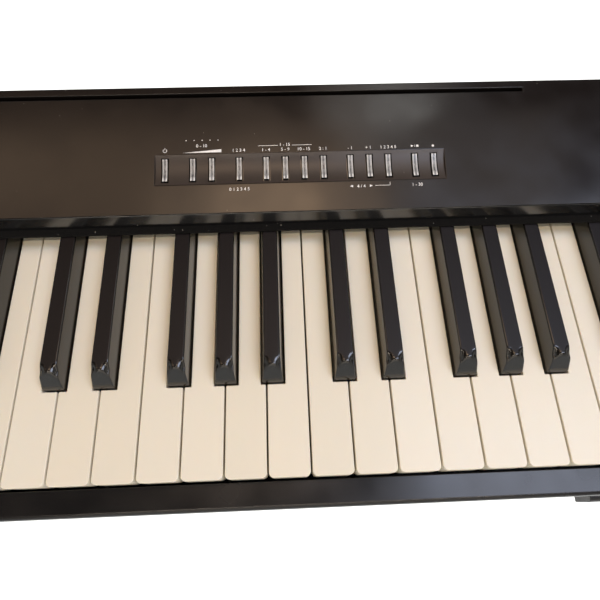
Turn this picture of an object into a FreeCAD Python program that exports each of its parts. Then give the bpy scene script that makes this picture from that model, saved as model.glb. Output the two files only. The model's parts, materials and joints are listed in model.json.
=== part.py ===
import FreeCAD, Part

# Digital piano on a furniture stand, as separate solids.
# +X runs up the keyboard, +Y to the back, +Z up. The origin is on the floor, under the middle
# of the instrument. All lengths are millimetres.

import math
import os

from FreeCAD import Vector

# ---------------------------------------------------------------- overall
CASE_WIDTH = 1300.0
CASE_DEPTH = 284.0
STAND_HEIGHT = 620.0  # floor to the top of the stand's arms
CASE_FOOT_HEIGHT = 8.0
KEY_LEVEL = 110.0  # white key tops above the stand's arms
CASE_WALL = 3.0

# ---------------------------------------------------------------- keyboard
WHITE_COUNT = 52
KEY_PITCH = 23.5
WHITE_GAP = 1.0
WHITE_HEIGHT = 18.0
KEY_VISIBLE = 150.0  # key front to the fascia
KEY_DIP = 10.0
KEY_WALL = 2.0
KEY_SKIN = 3.0
KEY_CORNER = 2.8
NOTCH_START = 50.3  # key front to the front of a black key's notch
NOTCH_WIDTH = 14.0
BLACK_GAP = 0.7
BLACK_RISE = 12.0
BLACK_TOP_WIDTH = 9.2
BLACK_FRONT_RUN = 8.5  # how far the sloping front leans back
BLACK_BODY_WIDTH = 12.0
BLACK_END = 156.0  # key front to the back of a black key's raised part
TAIL_WIDTH = 10.0
TAIL_START = 170.0
TAIL_TOP_DROP = 4.0
KEY_PIVOT_RUN = 216.0  # key front to the pivot rod
KEY_PIVOT_DROP = 11.0  # below the white key tops
TAIL_BEHIND_PIVOT = 6.0
BLACK_OFFSET = {"c_sharp": -2.1, "d_sharp": 2.5, "f_sharp": -2.8, "g_sharp": 0.5, "a_sharp": 3.7}
NOTES = ["c", "c_sharp", "d", "d_sharp", "e", "f", "f_sharp", "g", "g_sharp", "a", "a_sharp", "b"]
FIRST_NOTE = 9  # the lowest key is an A
KEY_COUNT = 88
LIVE_FIRST, LIVE_COUNT = 44, 12  # one octave of keys that move singly, F to E

# ---------------------------------------------------------------- hammer action
ROD_RADIUS = 2.0
RUNNING_CLEARANCE = 0.05
HAMMER_PIVOT_RUN = 115.0
HAMMER_PIVOT_DROP = 46.0
HAMMER_WIDTH = 8.0
HAMMER_PAD_RUN = 85.0
HAMMER_PAD_DROP = 36.8
HAMMER_ARM = 6.0
HAMMER_TAIL_RUN = 207.0
WEIGHT_LENGTH = 57.0
WEIGHT_HEIGHT = 14.0
WEIGHT_TOP_DROP = 40.0
PLUNGER_RADIUS = 4.0
PLUNGER_LIFT = 0.6  # rest gap between key plunger and hammer pad
CHASSIS_DROP = 58.0  # key tops to the upper face of the chassis plate
CHASSIS_PLATE = 2.5
CHASSIS_FRONT_RUN = 12.0
CHASSIS_BACK_RUN = 229.0
RIB_THICKNESS = 2.0
STOP_RAIL_RUN, STOP_RAIL_DEPTH = 18.0, 22.0
STOP_FELT = 2.2
STOP_CLEARANCE = 0.6  # under a key at the bottom of its dip
RIB_FRONT_RUN, RIB_STEP_RUN = 102.0, 176.0
RIB_FRONT_DROP, RIB_BACK_DROP = 28.0, 3.0
ROD_SEAT = 0.02  # radial play of a rod in its ribs
DOME_FOOT, DOME_TOP, DOME_HEIGHT = 4.2, 2.6, 5.5

# ---------------------------------------------------------------- case sections
RAIL_GAP = 1.4
RAIL_TOP_DROP = 11.0
FASCIA_THICKNESS = 3.0
FASCIA_LEAN = 2.8  # its foot stands ahead of its top edge
FELT_DEPTH = 7.3
FELT_THICKNESS = 1.5
FELT_CLEARANCE = 0.8  # above the black keys
LEDGE_DEPTH = 12.0
LEDGE_THICKNESS = 2.0
PANEL_LIP = 1.2  # edge of the panel that shows above the fascia
PANEL_FRONT_RISE = 23.7
PANEL_REAR_RISE = 41.0
PANEL_RUN = 82.3  # fascia to the rear top edge
REAR_SLANT_DROP = 15.0  # key tops down to the foot of the slanted back
CASE_SPLIT_DROP = 61.0  # key tops down to the joint between top and bottom case
CHEEK_RISE = 8.0
CHEEK_SLOPE = 34.0
CHEEK_NOSE = 12.0
CASE_ROUND = 2.5

# ---------------------------------------------------------------- control strip
STRIP_CENTRE = 95.0
STRIP_WIDTH = 178.5
STRIP_FRONT, STRIP_BACK = 18.0, 37.3  # behind the fascia
STRIP_DEPTH = 1.5  # at the middle of its hollow curve
SLOT_WIDTH = 4.7
SLOT_FRONT, SLOT_BACK = 19.7, 35.4
BUTTON_WIDTH = 3.1
BUTTON_CLEARANCE = 0.8  # at each end of the slot
BUTTON_PROUD = 0.7
BUTTON_TRAVEL = 1.0
FLANGE_DEPTH = CASE_WALL + 0.3
FLANGE_THICKNESS = 1.2
FLANGE_WIDTH = 8.0
FLANGE_REACH = 1.5  # past each end of the slot
SWITCH_HEIGHT = 4.0
SWITCH_LIFT = 0.2  # between a pressed button and its switch
PANEL_BOARD_DEPTH = CASE_WALL + 10.0  # panel face to the board under it
PANEL_BOARD_FRONT, PANEL_BOARD_BACK = 15.5, 45.0  # behind the fascia
PANEL_BOARD_LENGTH = 196.0
BOARD_THICKNESS = 1.6
BUTTON_X = {
    "button_power": -83.3, "button_volume_down": -66.4, "button_volume_up": -54.8,
    "button_function": -38.0, "button_tone_1": -21.4, "button_tone_2": -9.6,
    "button_tone_3": 2.2, "button_split": 13.9, "button_slow": 30.6, "button_fast": 42.4,
    "button_metronome": 54.1, "button_play": 70.8, "button_record": 82.7,
}
REST_SLOT_RUN = 75.0
REST_SLOT_WIDTH = 2.6
REST_SLOT_LENGTH = 478.0
REST_SLOT_DEPTH = 8.0
SLOT_WALL = 2.0

# ---------------------------------------------------------------- electronics
SPEAKER_X = 430.0
SPEAKER_RUN = 120.0
SPEAKER_RADIUS = 52.0
MAGNET_RADIUS = 26.0
GRILLE_SLOTS = 13
GRILLE_PITCH = 7.0
GRILLE_SLOT = 3.0
GRILLE_MARGIN = 6.0
JACK_BORE = 3.25
JACK_BARREL = 6.0
JACK_LENGTH = 24.0
JACK_CLEARANCE = 0.2
JACK_RISE = 24.0  # case floor to the jacks' centre line
POWER_BORE, POWER_PIN, POWER_DEPTH = 2.8, 1.05, 10.0
PHONES_X = (-560.0, -532.0)
REAR_JACK_X = {"pedal": 150.0, "damper": 178.0, "out_left": 90.0, "out_right": 118.0, "power": 30.0}
BOARD_RISE = 12.0  # case floor to the boards
BOARD_POST = 3.5
BOARD_EDGE = 6.0
MAIN_BOARD_DEPTH = 90.0

# ---------------------------------------------------------------- stand
BOARD = 25.0
STAND_INSET = 2.0
STAND_FOOT_DEPTH = 330.0
STAND_FOOT_TOP = 62.0
STAND_ARM_DEPTH = 262.0
STAND_ARM_HEIGHT = 60.0
COLUMN_FRONT, COLUMN_BACK = -38.0, 112.0
STAND_ROUND = 45.0
STAND_BACK_ROUND = 12.0
STAND_TIP_ROUND = 10.0
BACK_INSET = 6.0
BACK_PANEL = 18.0
BACK_PANEL_LOW, BACK_PANEL_HIGH = 290.0, 560.0
GLIDE_HEIGHT = 8.0
GLIDE_RADIUS = 11.0
CASE_FOOT_RADIUS = 10.0
FOOT_Y = 100.0
GLIDE_Y = 140.0
BRACKET_Y = 60.0
BRACKET_WIDTH = 30.0
BRACKET_SHEET = 2.5
BRACKET_PAST_BOLT = 13.0
BRACKET_DROP = 40.0
BOLT_INSET = 11.0  # end of the bottom case to the bolt
BOLT_RADIUS = 3.0
BOLT_HEAD = 5.5
BOLT_SINK = 4.0
BOLT_BITE = 30.0
BOLT_CLEARANCE = 0.2
SCREW_RADIUS = 2.0
SCREW_HEAD = 4.0
SCREW_SINK = 5.0
SCREW_LENGTH = 18.0
SCREW_CLEARANCE = 0.15
POST_RADIUS = 6.5
BOSS_RADIUS = 7.5
BOSS_HEIGHT = 16.0
CHASSIS_SCREW_X = (-540.0, -300.0, 300.0, 540.0)
CHASSIS_SCREW_RUNS = (50.0, 222.0)

# ---------------------------------------------------------------- derived places
KEY_TOP = STAND_HEIGHT + KEY_LEVEL
CASE_FLOOR = STAND_HEIGHT + CASE_FOOT_HEIGHT
FRONT = -CASE_DEPTH / 2
REAR = CASE_DEPTH / 2
RAIL_DEPTH = 16.0 - RAIL_GAP
KEY_FRONT = FRONT + RAIL_DEPTH + RAIL_GAP
FASCIA = KEY_FRONT + KEY_VISIBLE
PANEL_REAR = FASCIA + PANEL_RUN
PANEL_SLOPE = (PANEL_REAR_RISE - PANEL_FRONT_RISE) / PANEL_RUN
SPLIT = KEY_TOP - CASE_SPLIT_DROP
STOP_DIP = KEY_DIP * (1 - STOP_RAIL_RUN / KEY_PIVOT_RUN)  # how far a key sinks above the stop rail
STOP_RAIL_DROP = WHITE_HEIGHT + STOP_DIP + STOP_CLEARANCE + STOP_FELT
KEYBED_HALF = WHITE_COUNT * KEY_PITCH / 2
CASE_INNER = KEYBED_HALF + 1.0
SIDE_INNER = CASE_WIDTH / 2 - STAND_INSET - BOARD  # inner faces of the side boards
BOLT_X = CASE_INNER - BOLT_INSET
JACK_LEVEL = CASE_FLOOR + JACK_RISE
BOARD_LEVEL = CASE_FLOOR + BOARD_RISE
PIVOTS = ((KEY_PIVOT_RUN, KEY_PIVOT_DROP), (HAMMER_PIVOT_RUN, HAMMER_PIVOT_DROP))
UP = Vector(0, -PANEL_SLOPE, 1).normalize()  # out of the panel's face
ALONG = Vector(0, 1, PANEL_SLOPE).normalize()  # up the panel's face


def box(x0, x1, y0, y1, z0, z1):
    """Box between two corners."""
    return Part.makeBox(x1 - x0, y1 - y0, z1 - z0, Vector(x0, y0, z0))


def prism(points, x0, x1):
    """Outline of (y, z) points, carried along X."""
    wire = Part.makePolygon([Vector(x0, y, z) for y, z in points + points[:1]])
    return Part.Face(wire).extrude(Vector(x1 - x0, 0, 0))


def rod_x(y, z, radius, x0, x1):
    return Part.makeCylinder(radius, x1 - x0, Vector(x0, y, z), Vector(1, 0, 0))


def rod_y(x, z, radius, y0, y1):
    return Part.makeCylinder(radius, y1 - y0, Vector(x, y0, z), Vector(0, 1, 0))


def rod_z(x, y, radius, z0, z1):
    return Part.makeCylinder(radius, z1 - z0, Vector(x, y, z0))


def panel_z(y):
    """Height of the panel's face at y."""
    return KEY_TOP + PANEL_FRONT_RISE + PANEL_SLOPE * (y - FASCIA)


def join(first, *others):
    shape = first.fuse(list(others)) if others else first
    return shape.removeSplitter()


def panel_block(x0, x1, run0, run1, depth0, depth1):
    """Block square to the panel: runs behind the fascia, depths below the panel's face."""
    corner = Vector(x0, FASCIA + run0, panel_z(FASCIA + run0)) - UP * depth1
    length = (run1 - run0) / ALONG.y
    block = Part.makeBox(x1 - x0, length, depth1 - depth0)
    block.rotate(Vector(), Vector(1, 0, 0), math.degrees(math.atan(PANEL_SLOPE)))
    block.translate(corner)
    return block


# ---------------------------------------------------------------- keys
def keyboard():
    """One dict for each key: its name, whether it is black, and its edges across X."""
    keys = []
    white = 0
    for index in range(KEY_COUNT):
        step = (FIRST_NOTE + index) % 12
        octave = (FIRST_NOTE + index) // 12
        note = NOTES[step]
        edge = -KEYBED_HALF + white * KEY_PITCH
        if note in BLACK_OFFSET:
            keys.append({"note": note, "octave": octave, "black": True, "x": edge + BLACK_OFFSET[note]})
        else:
            key = {"note": note, "octave": octave, "black": False, "left": edge, "right": edge + KEY_PITCH}
            keys.append(key)
            white += 1
    for index, key in enumerate(keys):
        if key["black"]:
            continue
        below = keys[index - 1] if index else None
        above = keys[index + 1] if index + 1 < KEY_COUNT else None
        low = below["x"] + NOTCH_WIDTH / 2 if below and below["black"] else key["left"] + WHITE_GAP / 2
        high = above["x"] - NOTCH_WIDTH / 2 if above and above["black"] else key["right"] - WHITE_GAP / 2
        key["tail"] = (low, high)
        key["x"] = (low + high) / 2
    return keys


def key_tail_and_plunger(x):
    """The narrow tail that holds the pivot, and the plunger that presses the hammer."""
    tail = box(
        x - TAIL_WIDTH / 2, x + TAIL_WIDTH / 2,
        KEY_FRONT + TAIL_START - KEY_WALL, KEY_FRONT + KEY_PIVOT_RUN + TAIL_BEHIND_PIVOT,
        KEY_TOP - WHITE_HEIGHT, KEY_TOP - TAIL_TOP_DROP,
    )
    y = KEY_FRONT + HAMMER_PAD_RUN
    half = HAMMER_WIDTH / 2 - 1
    foot = KEY_TOP - HAMMER_PAD_DROP + PLUNGER_LIFT + PLUNGER_RADIUS
    post = box(x - half, x + half, y - PLUNGER_RADIUS, y + PLUNGER_RADIUS, foot, KEY_TOP - KEY_SKIN)
    toe = rod_x(y, foot, PLUNGER_RADIUS, x - half, x + half)
    return tail, post, toe


def pivot_bore(x):
    reach = TAIL_WIDTH
    return rod_x(
        KEY_FRONT + KEY_PIVOT_RUN, KEY_TOP - KEY_PIVOT_DROP,
        ROD_RADIUS + RUNNING_CLEARANCE, x - reach, x + reach,
    )


def white_key(key):
    left, right = key["left"] + WHITE_GAP / 2, key["right"] - WHITE_GAP / 2
    low, high = key["tail"]
    notch, end = KEY_FRONT + NOTCH_START, KEY_FRONT + TAIL_START
    base = KEY_TOP - WHITE_HEIGHT
    head = box(left, right, KEY_FRONT, notch, base, KEY_TOP)
    corners = [e for e in head.Edges if e.BoundBox.ZLength > 1 and e.BoundBox.YMax < KEY_FRONT + 0.1]
    head = head.makeFillet(KEY_CORNER, corners)
    neck = box(low, high, notch, end, base, KEY_TOP)
    wall = KEY_WALL
    skin = KEY_TOP - KEY_SKIN
    under = box(left + wall, right - wall, KEY_FRONT + wall, notch - wall, base, skin)
    under_neck = box(low + wall, high - wall, notch - wall, end - wall, base, skin)
    shell = head.fuse(neck).cut(under.fuse(under_neck))
    return join(shell, *key_tail_and_plunger(key["x"])).cut(pivot_bore(key["x"]))


def black_key(key):
    x = key["x"]
    front = KEY_FRONT + NOTCH_START + BLACK_GAP
    end = KEY_FRONT + TAIL_START
    wide = NOTCH_WIDTH / 2 - BLACK_GAP
    slim = BLACK_TOP_WIDTH / 2

    def ring(half, y, z):
        back = KEY_FRONT + BLACK_END
        corners = [(-half, y), (half, y), (half, back), (-half, back), (-half, y)]
        return Part.makePolygon([Vector(x + dx, cy, z) for dx, cy in corners])

    cap = Part.makeLoft(
        [ring(wide, front, KEY_TOP), ring(slim, front + BLACK_FRONT_RUN, KEY_TOP + BLACK_RISE)], True, True,
    )
    half = BLACK_BODY_WIDTH / 2
    body = box(x - half, x + half, front + 1, end, KEY_TOP - WHITE_HEIGHT + 2, KEY_TOP)
    hollow = box(
        x - half + KEY_WALL, x + half - KEY_WALL, front + 12, end - KEY_WALL,
        KEY_TOP - WHITE_HEIGHT + 2, KEY_TOP - KEY_SKIN,
    )
    shell = cap.fuse(body).cut(hollow)
    return join(shell, *key_tail_and_plunger(x)).cut(pivot_bore(x))


def hammer(key):
    """Weighted lever under one key: the pad in front of its pivot, the weight behind."""
    y, z = KEY_FRONT, KEY_TOP
    pad, pivot, end = HAMMER_PAD_RUN, HAMMER_PIVOT_RUN, HAMMER_TAIL_RUN
    weight = end - WEIGHT_LENGTH
    top, low = -WEIGHT_TOP_DROP, -WEIGHT_TOP_DROP - WEIGHT_HEIGHT
    pad_top = -HAMMER_PAD_DROP
    outline = [
        (pad - 6, pad_top), (pad + 7, pad_top), (pivot - 7, top), (end, top), (end, low),
        (weight, low), (weight - 10, low + 4), (pivot + 7, low + 2), (pivot - 7, low + 2),
        (pad + 7, pad_top - HAMMER_ARM - 1), (pad - 6, pad_top - HAMMER_ARM),
    ]
    half = HAMMER_WIDTH / 2
    lever = prism([(y + a, z + b) for a, b in outline], key["x"] - half, key["x"] + half)
    bore = rod_x(
        y + pivot, z - HAMMER_PIVOT_DROP, ROD_RADIUS + RUNNING_CLEARANCE,
        key["x"] - HAMMER_WIDTH, key["x"] + HAMMER_WIDTH,
    )
    return lever.cut(bore)


# ---------------------------------------------------------------- action frame
def rib_places(keys):
    """X of the ribs: both ends, and each place where two white keys are neighbours."""
    ends = KEYBED_HALF - RIB_THICKNESS / 2
    places = [-ends, ends]
    for below, above in zip(keys, keys[1:]):
        if not below["black"] and not above["black"]:
            places.append((below["x"] + above["x"]) / 2)
    return sorted(places)


def key_chassis(keys):
    """Plate, stop rail and ribs, drilled for the two pivot rods."""
    y, z = KEY_FRONT, KEY_TOP
    plate = box(
        -KEYBED_HALF, KEYBED_HALF, y + CHASSIS_FRONT_RUN, y + CHASSIS_BACK_RUN,
        z - CHASSIS_DROP - CHASSIS_PLATE, z - CHASSIS_DROP,
    )
    for x, post_y in case_posts():
        plate = plate.cut(rod_z(x, post_y, SCREW_RADIUS + SCREW_CLEARANCE, z - CHASSIS_DROP - 5, z))
    rail = box(
        -KEYBED_HALF, KEYBED_HALF, y + STOP_RAIL_RUN, y + STOP_RAIL_RUN + STOP_RAIL_DEPTH,
        z - CHASSIS_DROP, z - STOP_RAIL_DROP,
    )
    back = CHASSIS_BACK_RUN - 1
    low = -CHASSIS_DROP
    outline = [
        (RIB_FRONT_RUN, low), (back, low), (back, -RIB_BACK_DROP), (RIB_STEP_RUN, -RIB_BACK_DROP),
        (RIB_STEP_RUN, -RIB_FRONT_DROP), (RIB_FRONT_RUN, -RIB_FRONT_DROP),
    ]
    half = RIB_THICKNESS / 2
    ribs = []
    for x in rib_places(keys):
        rib = prism([(y + run, z + rise) for run, rise in outline], x - half, x + half)
        for run, drop in PIVOTS:
            rib = rib.cut(rod_x(y + run, z - drop, ROD_RADIUS + ROD_SEAT, x - 3, x + 3))
        ribs.append(rib)
    return join(plate, rail, *ribs)


def pivot_rods():
    """The rod that the keys turn on and the rod that the hammers turn on."""
    rods = []
    for run, drop in PIVOTS:
        rods.append(rod_x(KEY_FRONT + run, KEY_TOP - drop, ROD_RADIUS, -KEYBED_HALF, KEYBED_HALF))
    return rods


def key_felts():
    """Dust felt over the backs of the keys, and the stop felt under their fronts."""
    low = KEY_TOP + BLACK_RISE + FELT_CLEARANCE
    near, far = FASCIA - FELT_DEPTH, FASCIA + LEDGE_DEPTH
    dust = box(-CASE_INNER, CASE_INNER, near, far, low, low + FELT_THICKNESS)
    front = KEY_FRONT + STOP_RAIL_RUN
    top = KEY_TOP - STOP_RAIL_DROP
    stop = box(-KEYBED_HALF, KEYBED_HALF, front, front + STOP_RAIL_DEPTH, top, top + STOP_FELT)
    return [dust, stop]


# ---------------------------------------------------------------- case
def section(points, inset=0.0):
    """Face of (y, z) points at X = 0, drawn in by a wall."""
    face = Part.Face(Part.makePolygon([Vector(0, y, z) for y, z in points + points[:1]]))
    return face.makeOffset2D(-inset, 2) if inset else face


def across(face, x0, x1):
    """Carry a section from x0 to x1."""
    moved = face.copy()
    moved.translate(Vector(x0, 0, 0))
    return moved.extrude(Vector(x1 - x0, 0, 0))


def case_posts():
    """Places of the screws that hold the key chassis on the bottom case."""
    return [(x, KEY_FRONT + run) for x in CHASSIS_SCREW_X for run in CHASSIS_SCREW_RUNS]


def bolt_places():
    """Places of the four bolts that hold the case on the stand."""
    return [(sx * BOLT_X, sy * BRACKET_Y) for sx in (-1, 1) for sy in (-1, 1)]


def grille_cuts(x):
    """Rows of narrow slots under one speaker."""
    cuts = []
    y = KEY_FRONT + SPEAKER_RUN
    for n in range(GRILLE_SLOTS):
        offset = (n - (GRILLE_SLOTS - 1) / 2) * GRILLE_PITCH
        half = math.sqrt((SPEAKER_RADIUS - GRILLE_MARGIN) ** 2 - offset**2)
        left = x + offset - GRILLE_SLOT / 2
        low, high = CASE_FLOOR - 1, CASE_FLOOR + CASE_WALL + 1
        cuts.append(box(left, left + GRILLE_SLOT, y - half, y + half, low, high))
    return cuts


def bottom_case():
    """Tray with its posts, bolt bosses, speaker grilles and jack holes."""
    tray = box(-CASE_INNER, CASE_INNER, FRONT, REAR, CASE_FLOOR, SPLIT)
    low = [e for e in tray.Edges if e.BoundBox.ZMax < CASE_FLOOR + 1 and e.BoundBox.XLength > 1]
    tray = tray.makeFillet(CASE_ROUND, low)
    inner = CASE_INNER - CASE_WALL
    floor = CASE_FLOOR + CASE_WALL
    tray = tray.cut(box(-inner, inner, FRONT + CASE_WALL, REAR - CASE_WALL, floor, SPLIT + 1))
    posts, cuts = [], []
    plate = KEY_TOP - CHASSIS_DROP - CHASSIS_PLATE
    for x, y in case_posts():
        posts.append(rod_z(x, y, POST_RADIUS, CASE_FLOOR, plate))
        cuts.append(rod_z(x, y, SCREW_RADIUS + SCREW_CLEARANCE, CASE_FLOOR, plate + 1))
        cuts.append(rod_z(x, y, SCREW_HEAD + SCREW_CLEARANCE, CASE_FLOOR - 1, CASE_FLOOR + SCREW_SINK))
    for x, y in bolt_places():
        posts.append(rod_z(x, y, BOSS_RADIUS, CASE_FLOOR, CASE_FLOOR + BOSS_HEIGHT))
        cuts.append(rod_z(x, y, BOLT_RADIUS + BOLT_CLEARANCE, CASE_FLOOR - 1, CASE_FLOOR + BOSS_HEIGHT - 2))
    for x0, x1, y0, y1 in board_areas():
        for x in (x0 + BOARD_EDGE, x1 - BOARD_EDGE):
            for y in (y0 + BOARD_EDGE, y1 - BOARD_EDGE):
                posts.append(rod_z(x, y, BOARD_POST, floor - 1, BOARD_LEVEL))
    for side in (-1, 1):
        cuts += grille_cuts(side * SPEAKER_X)
    hole = JACK_BARREL + JACK_CLEARANCE
    for x in PHONES_X:
        cuts.append(rod_y(x, JACK_LEVEL, hole, FRONT - 1, FRONT + CASE_WALL + 1))
    for x in REAR_JACK_X.values():
        cuts.append(rod_y(x, JACK_LEVEL, hole, REAR - CASE_WALL - 1, REAR + 1))
    return join(tray, *posts).cut(Part.Compound(cuts))


def top_outline(front):
    """Panel and slanted back, closed by a line at the case's joint."""
    return [
        (front, panel_z(front)), (PANEL_REAR, KEY_TOP + PANEL_REAR_RISE), (REAR, KEY_TOP - REAR_SLANT_DROP),
        (REAR, SPLIT), (front, SPLIT),
    ]


def strip_hollow(x0, x1, lift):
    """Cylinder along X that scoops the button strip, or the button tops with some lift."""
    half = (STRIP_BACK - STRIP_FRONT) / 2 / ALONG.y
    radius = (half**2 + STRIP_DEPTH**2) / (2 * STRIP_DEPTH)
    middle = FASCIA + (STRIP_FRONT + STRIP_BACK) / 2
    centre = Vector(0, middle, panel_z(middle)) + UP * (radius - STRIP_DEPTH)
    return rod_x(centre.y, centre.z, radius - lift, x0, x1)


def button_slots(width, length_extra, depth0, depth1):
    """One block for each button, square to the panel."""
    run0, run1 = SLOT_FRONT - length_extra, SLOT_BACK + length_extra
    blocks = []
    for offset in BUTTON_X.values():
        x = STRIP_CENTRE + offset
        blocks.append(panel_block(x - width / 2, x + width / 2, run0, run1, depth0, depth1))
    return blocks


def top_case():
    """Control panel and slanted back in one moulding, with the button strip and the rest's slot."""
    outer = across(section(top_outline(FASCIA)), -CASE_INNER, CASE_INNER)
    ahead = top_outline(FASCIA - 60)
    open_below = [(y, z - 60 if z == SPLIT else z) for y, z in ahead]
    inner = across(section(open_below, CASE_WALL), -CASE_INNER - 1, CASE_INNER + 1)
    rebate = prism(
        [
            (FASCIA - 1, panel_z(FASCIA - 1) - PANEL_LIP), (FASCIA + FASCIA_THICKNESS, fascia_top()),
            (FASCIA + FASCIA_THICKNESS, SPLIT), (FASCIA - 1, SPLIT),
        ],
        -CASE_INNER - 1, CASE_INNER + 1,
    )
    half = REST_SLOT_LENGTH / 2
    back = REST_SLOT_RUN + REST_SLOT_WIDTH
    pocket = panel_block(
        -half - CASE_WALL, half + CASE_WALL, REST_SLOT_RUN - SLOT_WALL, back + SLOT_WALL,
        CASE_WALL - 1, REST_SLOT_DEPTH + SLOT_WALL,
    )
    posts = []
    for side in (-1, 1):
        x = STRIP_CENTRE + side * (PANEL_BOARD_LENGTH / 2 - BOARD_EDGE)
        for run in (PANEL_BOARD_FRONT + 2, PANEL_BOARD_BACK - 2):
            posts.append(panel_block(x - 2, x + 2, run - 2, run + 2, CASE_WALL - 1, PANEL_BOARD_DEPTH))
    left = STRIP_CENTRE - STRIP_WIDTH / 2
    strip = strip_hollow(left, left + STRIP_WIDTH, 0)
    slot = panel_block(-half, half, REST_SLOT_RUN, back, -2, REST_SLOT_DEPTH)
    cuts = [strip, slot] + button_slots(SLOT_WIDTH, 0.0, -2, CASE_WALL + 1)
    shell = outer.cut(inner).cut(rebate)
    return join(shell, pocket, *posts).cut(Part.Compound(cuts))


def fascia_top():
    return panel_z(FASCIA + FASCIA_THICKNESS) - PANEL_LIP


def fascia_strip():
    """Gloss strip behind the keys, leaning back, with a ledge that carries the dust felt."""
    low = KEY_TOP + BLACK_RISE + FELT_CLEARANCE + FELT_THICKNESS
    back = FASCIA + FASCIA_THICKNESS
    outline = [
        (FASCIA - FASCIA_LEAN, low), (FASCIA + LEDGE_DEPTH, low),
        (FASCIA + LEDGE_DEPTH, low + LEDGE_THICKNESS), (back, low + LEDGE_THICKNESS),
        (back, fascia_top()), (FASCIA, panel_z(FASCIA) - PANEL_LIP),
    ]
    return prism(outline, -CASE_INNER, CASE_INNER)


def end_block(side):
    """Hollow end moulding beside the keys, open towards them."""
    cheek = KEY_TOP + CHEEK_RISE
    outline = [
        (FRONT, CASE_FLOOR), (REAR, CASE_FLOOR), (REAR, KEY_TOP - REAR_SLANT_DROP),
        (PANEL_REAR, KEY_TOP + PANEL_REAR_RISE), (FASCIA, panel_z(FASCIA)),
        (FASCIA - CHEEK_SLOPE, cheek), (FRONT + CHEEK_NOSE, cheek), (FRONT, KEY_TOP - RAIL_TOP_DROP),
    ]
    width = CASE_WIDTH / 2 - CASE_INNER
    solid = across(section(outline), 0, width)
    outer = [e for e in solid.Edges if e.BoundBox.XMin > width - 0.01]
    solid = solid.makeFillet(CASE_ROUND, outer)
    solid = solid.cut(across(section(outline, CASE_WALL), -1, width - CASE_WALL))
    if side < 0:
        solid = solid.mirror(Vector(), Vector(1, 0, 0))
    solid.translate(Vector(side * CASE_INNER, 0, 0))
    return solid


def front_rail():
    """Channel in front of the keys."""
    top = KEY_TOP - RAIL_TOP_DROP
    bar = box(-CASE_INNER, CASE_INNER, FRONT, FRONT + RAIL_DEPTH, SPLIT, top)
    edge = [e for e in bar.Edges if e.BoundBox.ZMin > top - 1 and e.BoundBox.YMax < FRONT + 1]
    bar = bar.makeFillet(CASE_ROUND, edge)
    hollow = box(
        -CASE_INNER - 1, CASE_INNER + 1, FRONT + CASE_WALL, FRONT + RAIL_DEPTH - CASE_WALL,
        SPLIT - 1, top - CASE_WALL,
    )
    return bar.cut(hollow)


# ---------------------------------------------------------------- buttons
def button(x):
    """Light bar with a flange that keeps it under the panel, and a stem above its switch."""
    half = BUTTON_WIDTH / 2
    run0, run1 = SLOT_FRONT + BUTTON_CLEARANCE, SLOT_BACK - BUTTON_CLEARANCE
    low = FLANGE_DEPTH + FLANGE_THICKNESS
    cap = panel_block(x - half, x + half, run0, run1, -BUTTON_PROUD, low)
    cap = cap.cut(strip_hollow(x - half - 1, x + half + 1, BUTTON_PROUD))
    half = FLANGE_WIDTH / 2
    flange = panel_block(
        x - half, x + half, SLOT_FRONT - FLANGE_REACH, SLOT_BACK + FLANGE_REACH,
        FLANGE_DEPTH, low,
    )
    middle = (SLOT_FRONT + SLOT_BACK) / 2
    foot = PANEL_BOARD_DEPTH - SWITCH_HEIGHT - BUTTON_TRAVEL - SWITCH_LIFT
    stem = panel_block(x - half / 2, x + half / 2, middle - 3, middle + 3, FLANGE_DEPTH, foot)
    return join(cap, flange, stem)


def button_board():
    """Board under the panel with one push switch below each button."""
    half = PANEL_BOARD_LENGTH / 2
    pieces = [panel_block(
        STRIP_CENTRE - half, STRIP_CENTRE + half, PANEL_BOARD_FRONT, PANEL_BOARD_BACK,
        PANEL_BOARD_DEPTH, PANEL_BOARD_DEPTH + BOARD_THICKNESS,
    )]
    middle = (SLOT_FRONT + SLOT_BACK) / 2
    for offset in BUTTON_X.values():
        x = STRIP_CENTRE + offset
        pieces.append(panel_block(
            x - 3, x + 3, middle - 3, middle + 3, PANEL_BOARD_DEPTH - SWITCH_HEIGHT, PANEL_BOARD_DEPTH,
        ))
    return pieces


# ---------------------------------------------------------------- electronics
def board_areas():
    """Main board at the back and jack board at the front: x0, x1, y0, y1."""
    inside = REAR - CASE_WALL - 1
    main = (min(REAR_JACK_X.values()) - 25, max(REAR_JACK_X.values()) + 25, inside - MAIN_BOARD_DEPTH, inside)
    near = FRONT + CASE_WALL + 1
    phones = (min(PHONES_X) - 20, max(PHONES_X) + 20, near, near + JACK_LENGTH + 12)
    return [main, phones]


def sensor_board(keys):
    """Contact board under the hammers, with one rubber dome for each key."""
    y, z = KEY_FRONT + HAMMER_PAD_RUN, KEY_TOP - CHASSIS_DROP
    end = KEYBED_HALF - 4
    pieces = [box(-end, end, y - 13, y + 13, z, z + BOARD_THICKNESS)]
    for key in keys:
        place = Vector(key["x"], y, z + BOARD_THICKNESS)
        pieces.append(Part.makeCone(DOME_FOOT, DOME_TOP, DOME_HEIGHT, place))
    return pieces


def main_boards():
    """Main board with its chips and heat sink, and the phones board."""
    pieces = []
    for x0, x1, y0, y1 in board_areas():
        pieces.append(box(x0, x1, y0, y1, BOARD_LEVEL, BOARD_LEVEL + BOARD_THICKNESS))
    x0, x1, y0, y1 = board_areas()[0]
    top = BOARD_LEVEL + BOARD_THICKNESS
    for n in range(3):
        x = x0 + 30 + n * 40
        pieces.append(box(x, x + 18, y0 + 8, y0 + 26, top, top + 2.5))
    return pieces


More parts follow.
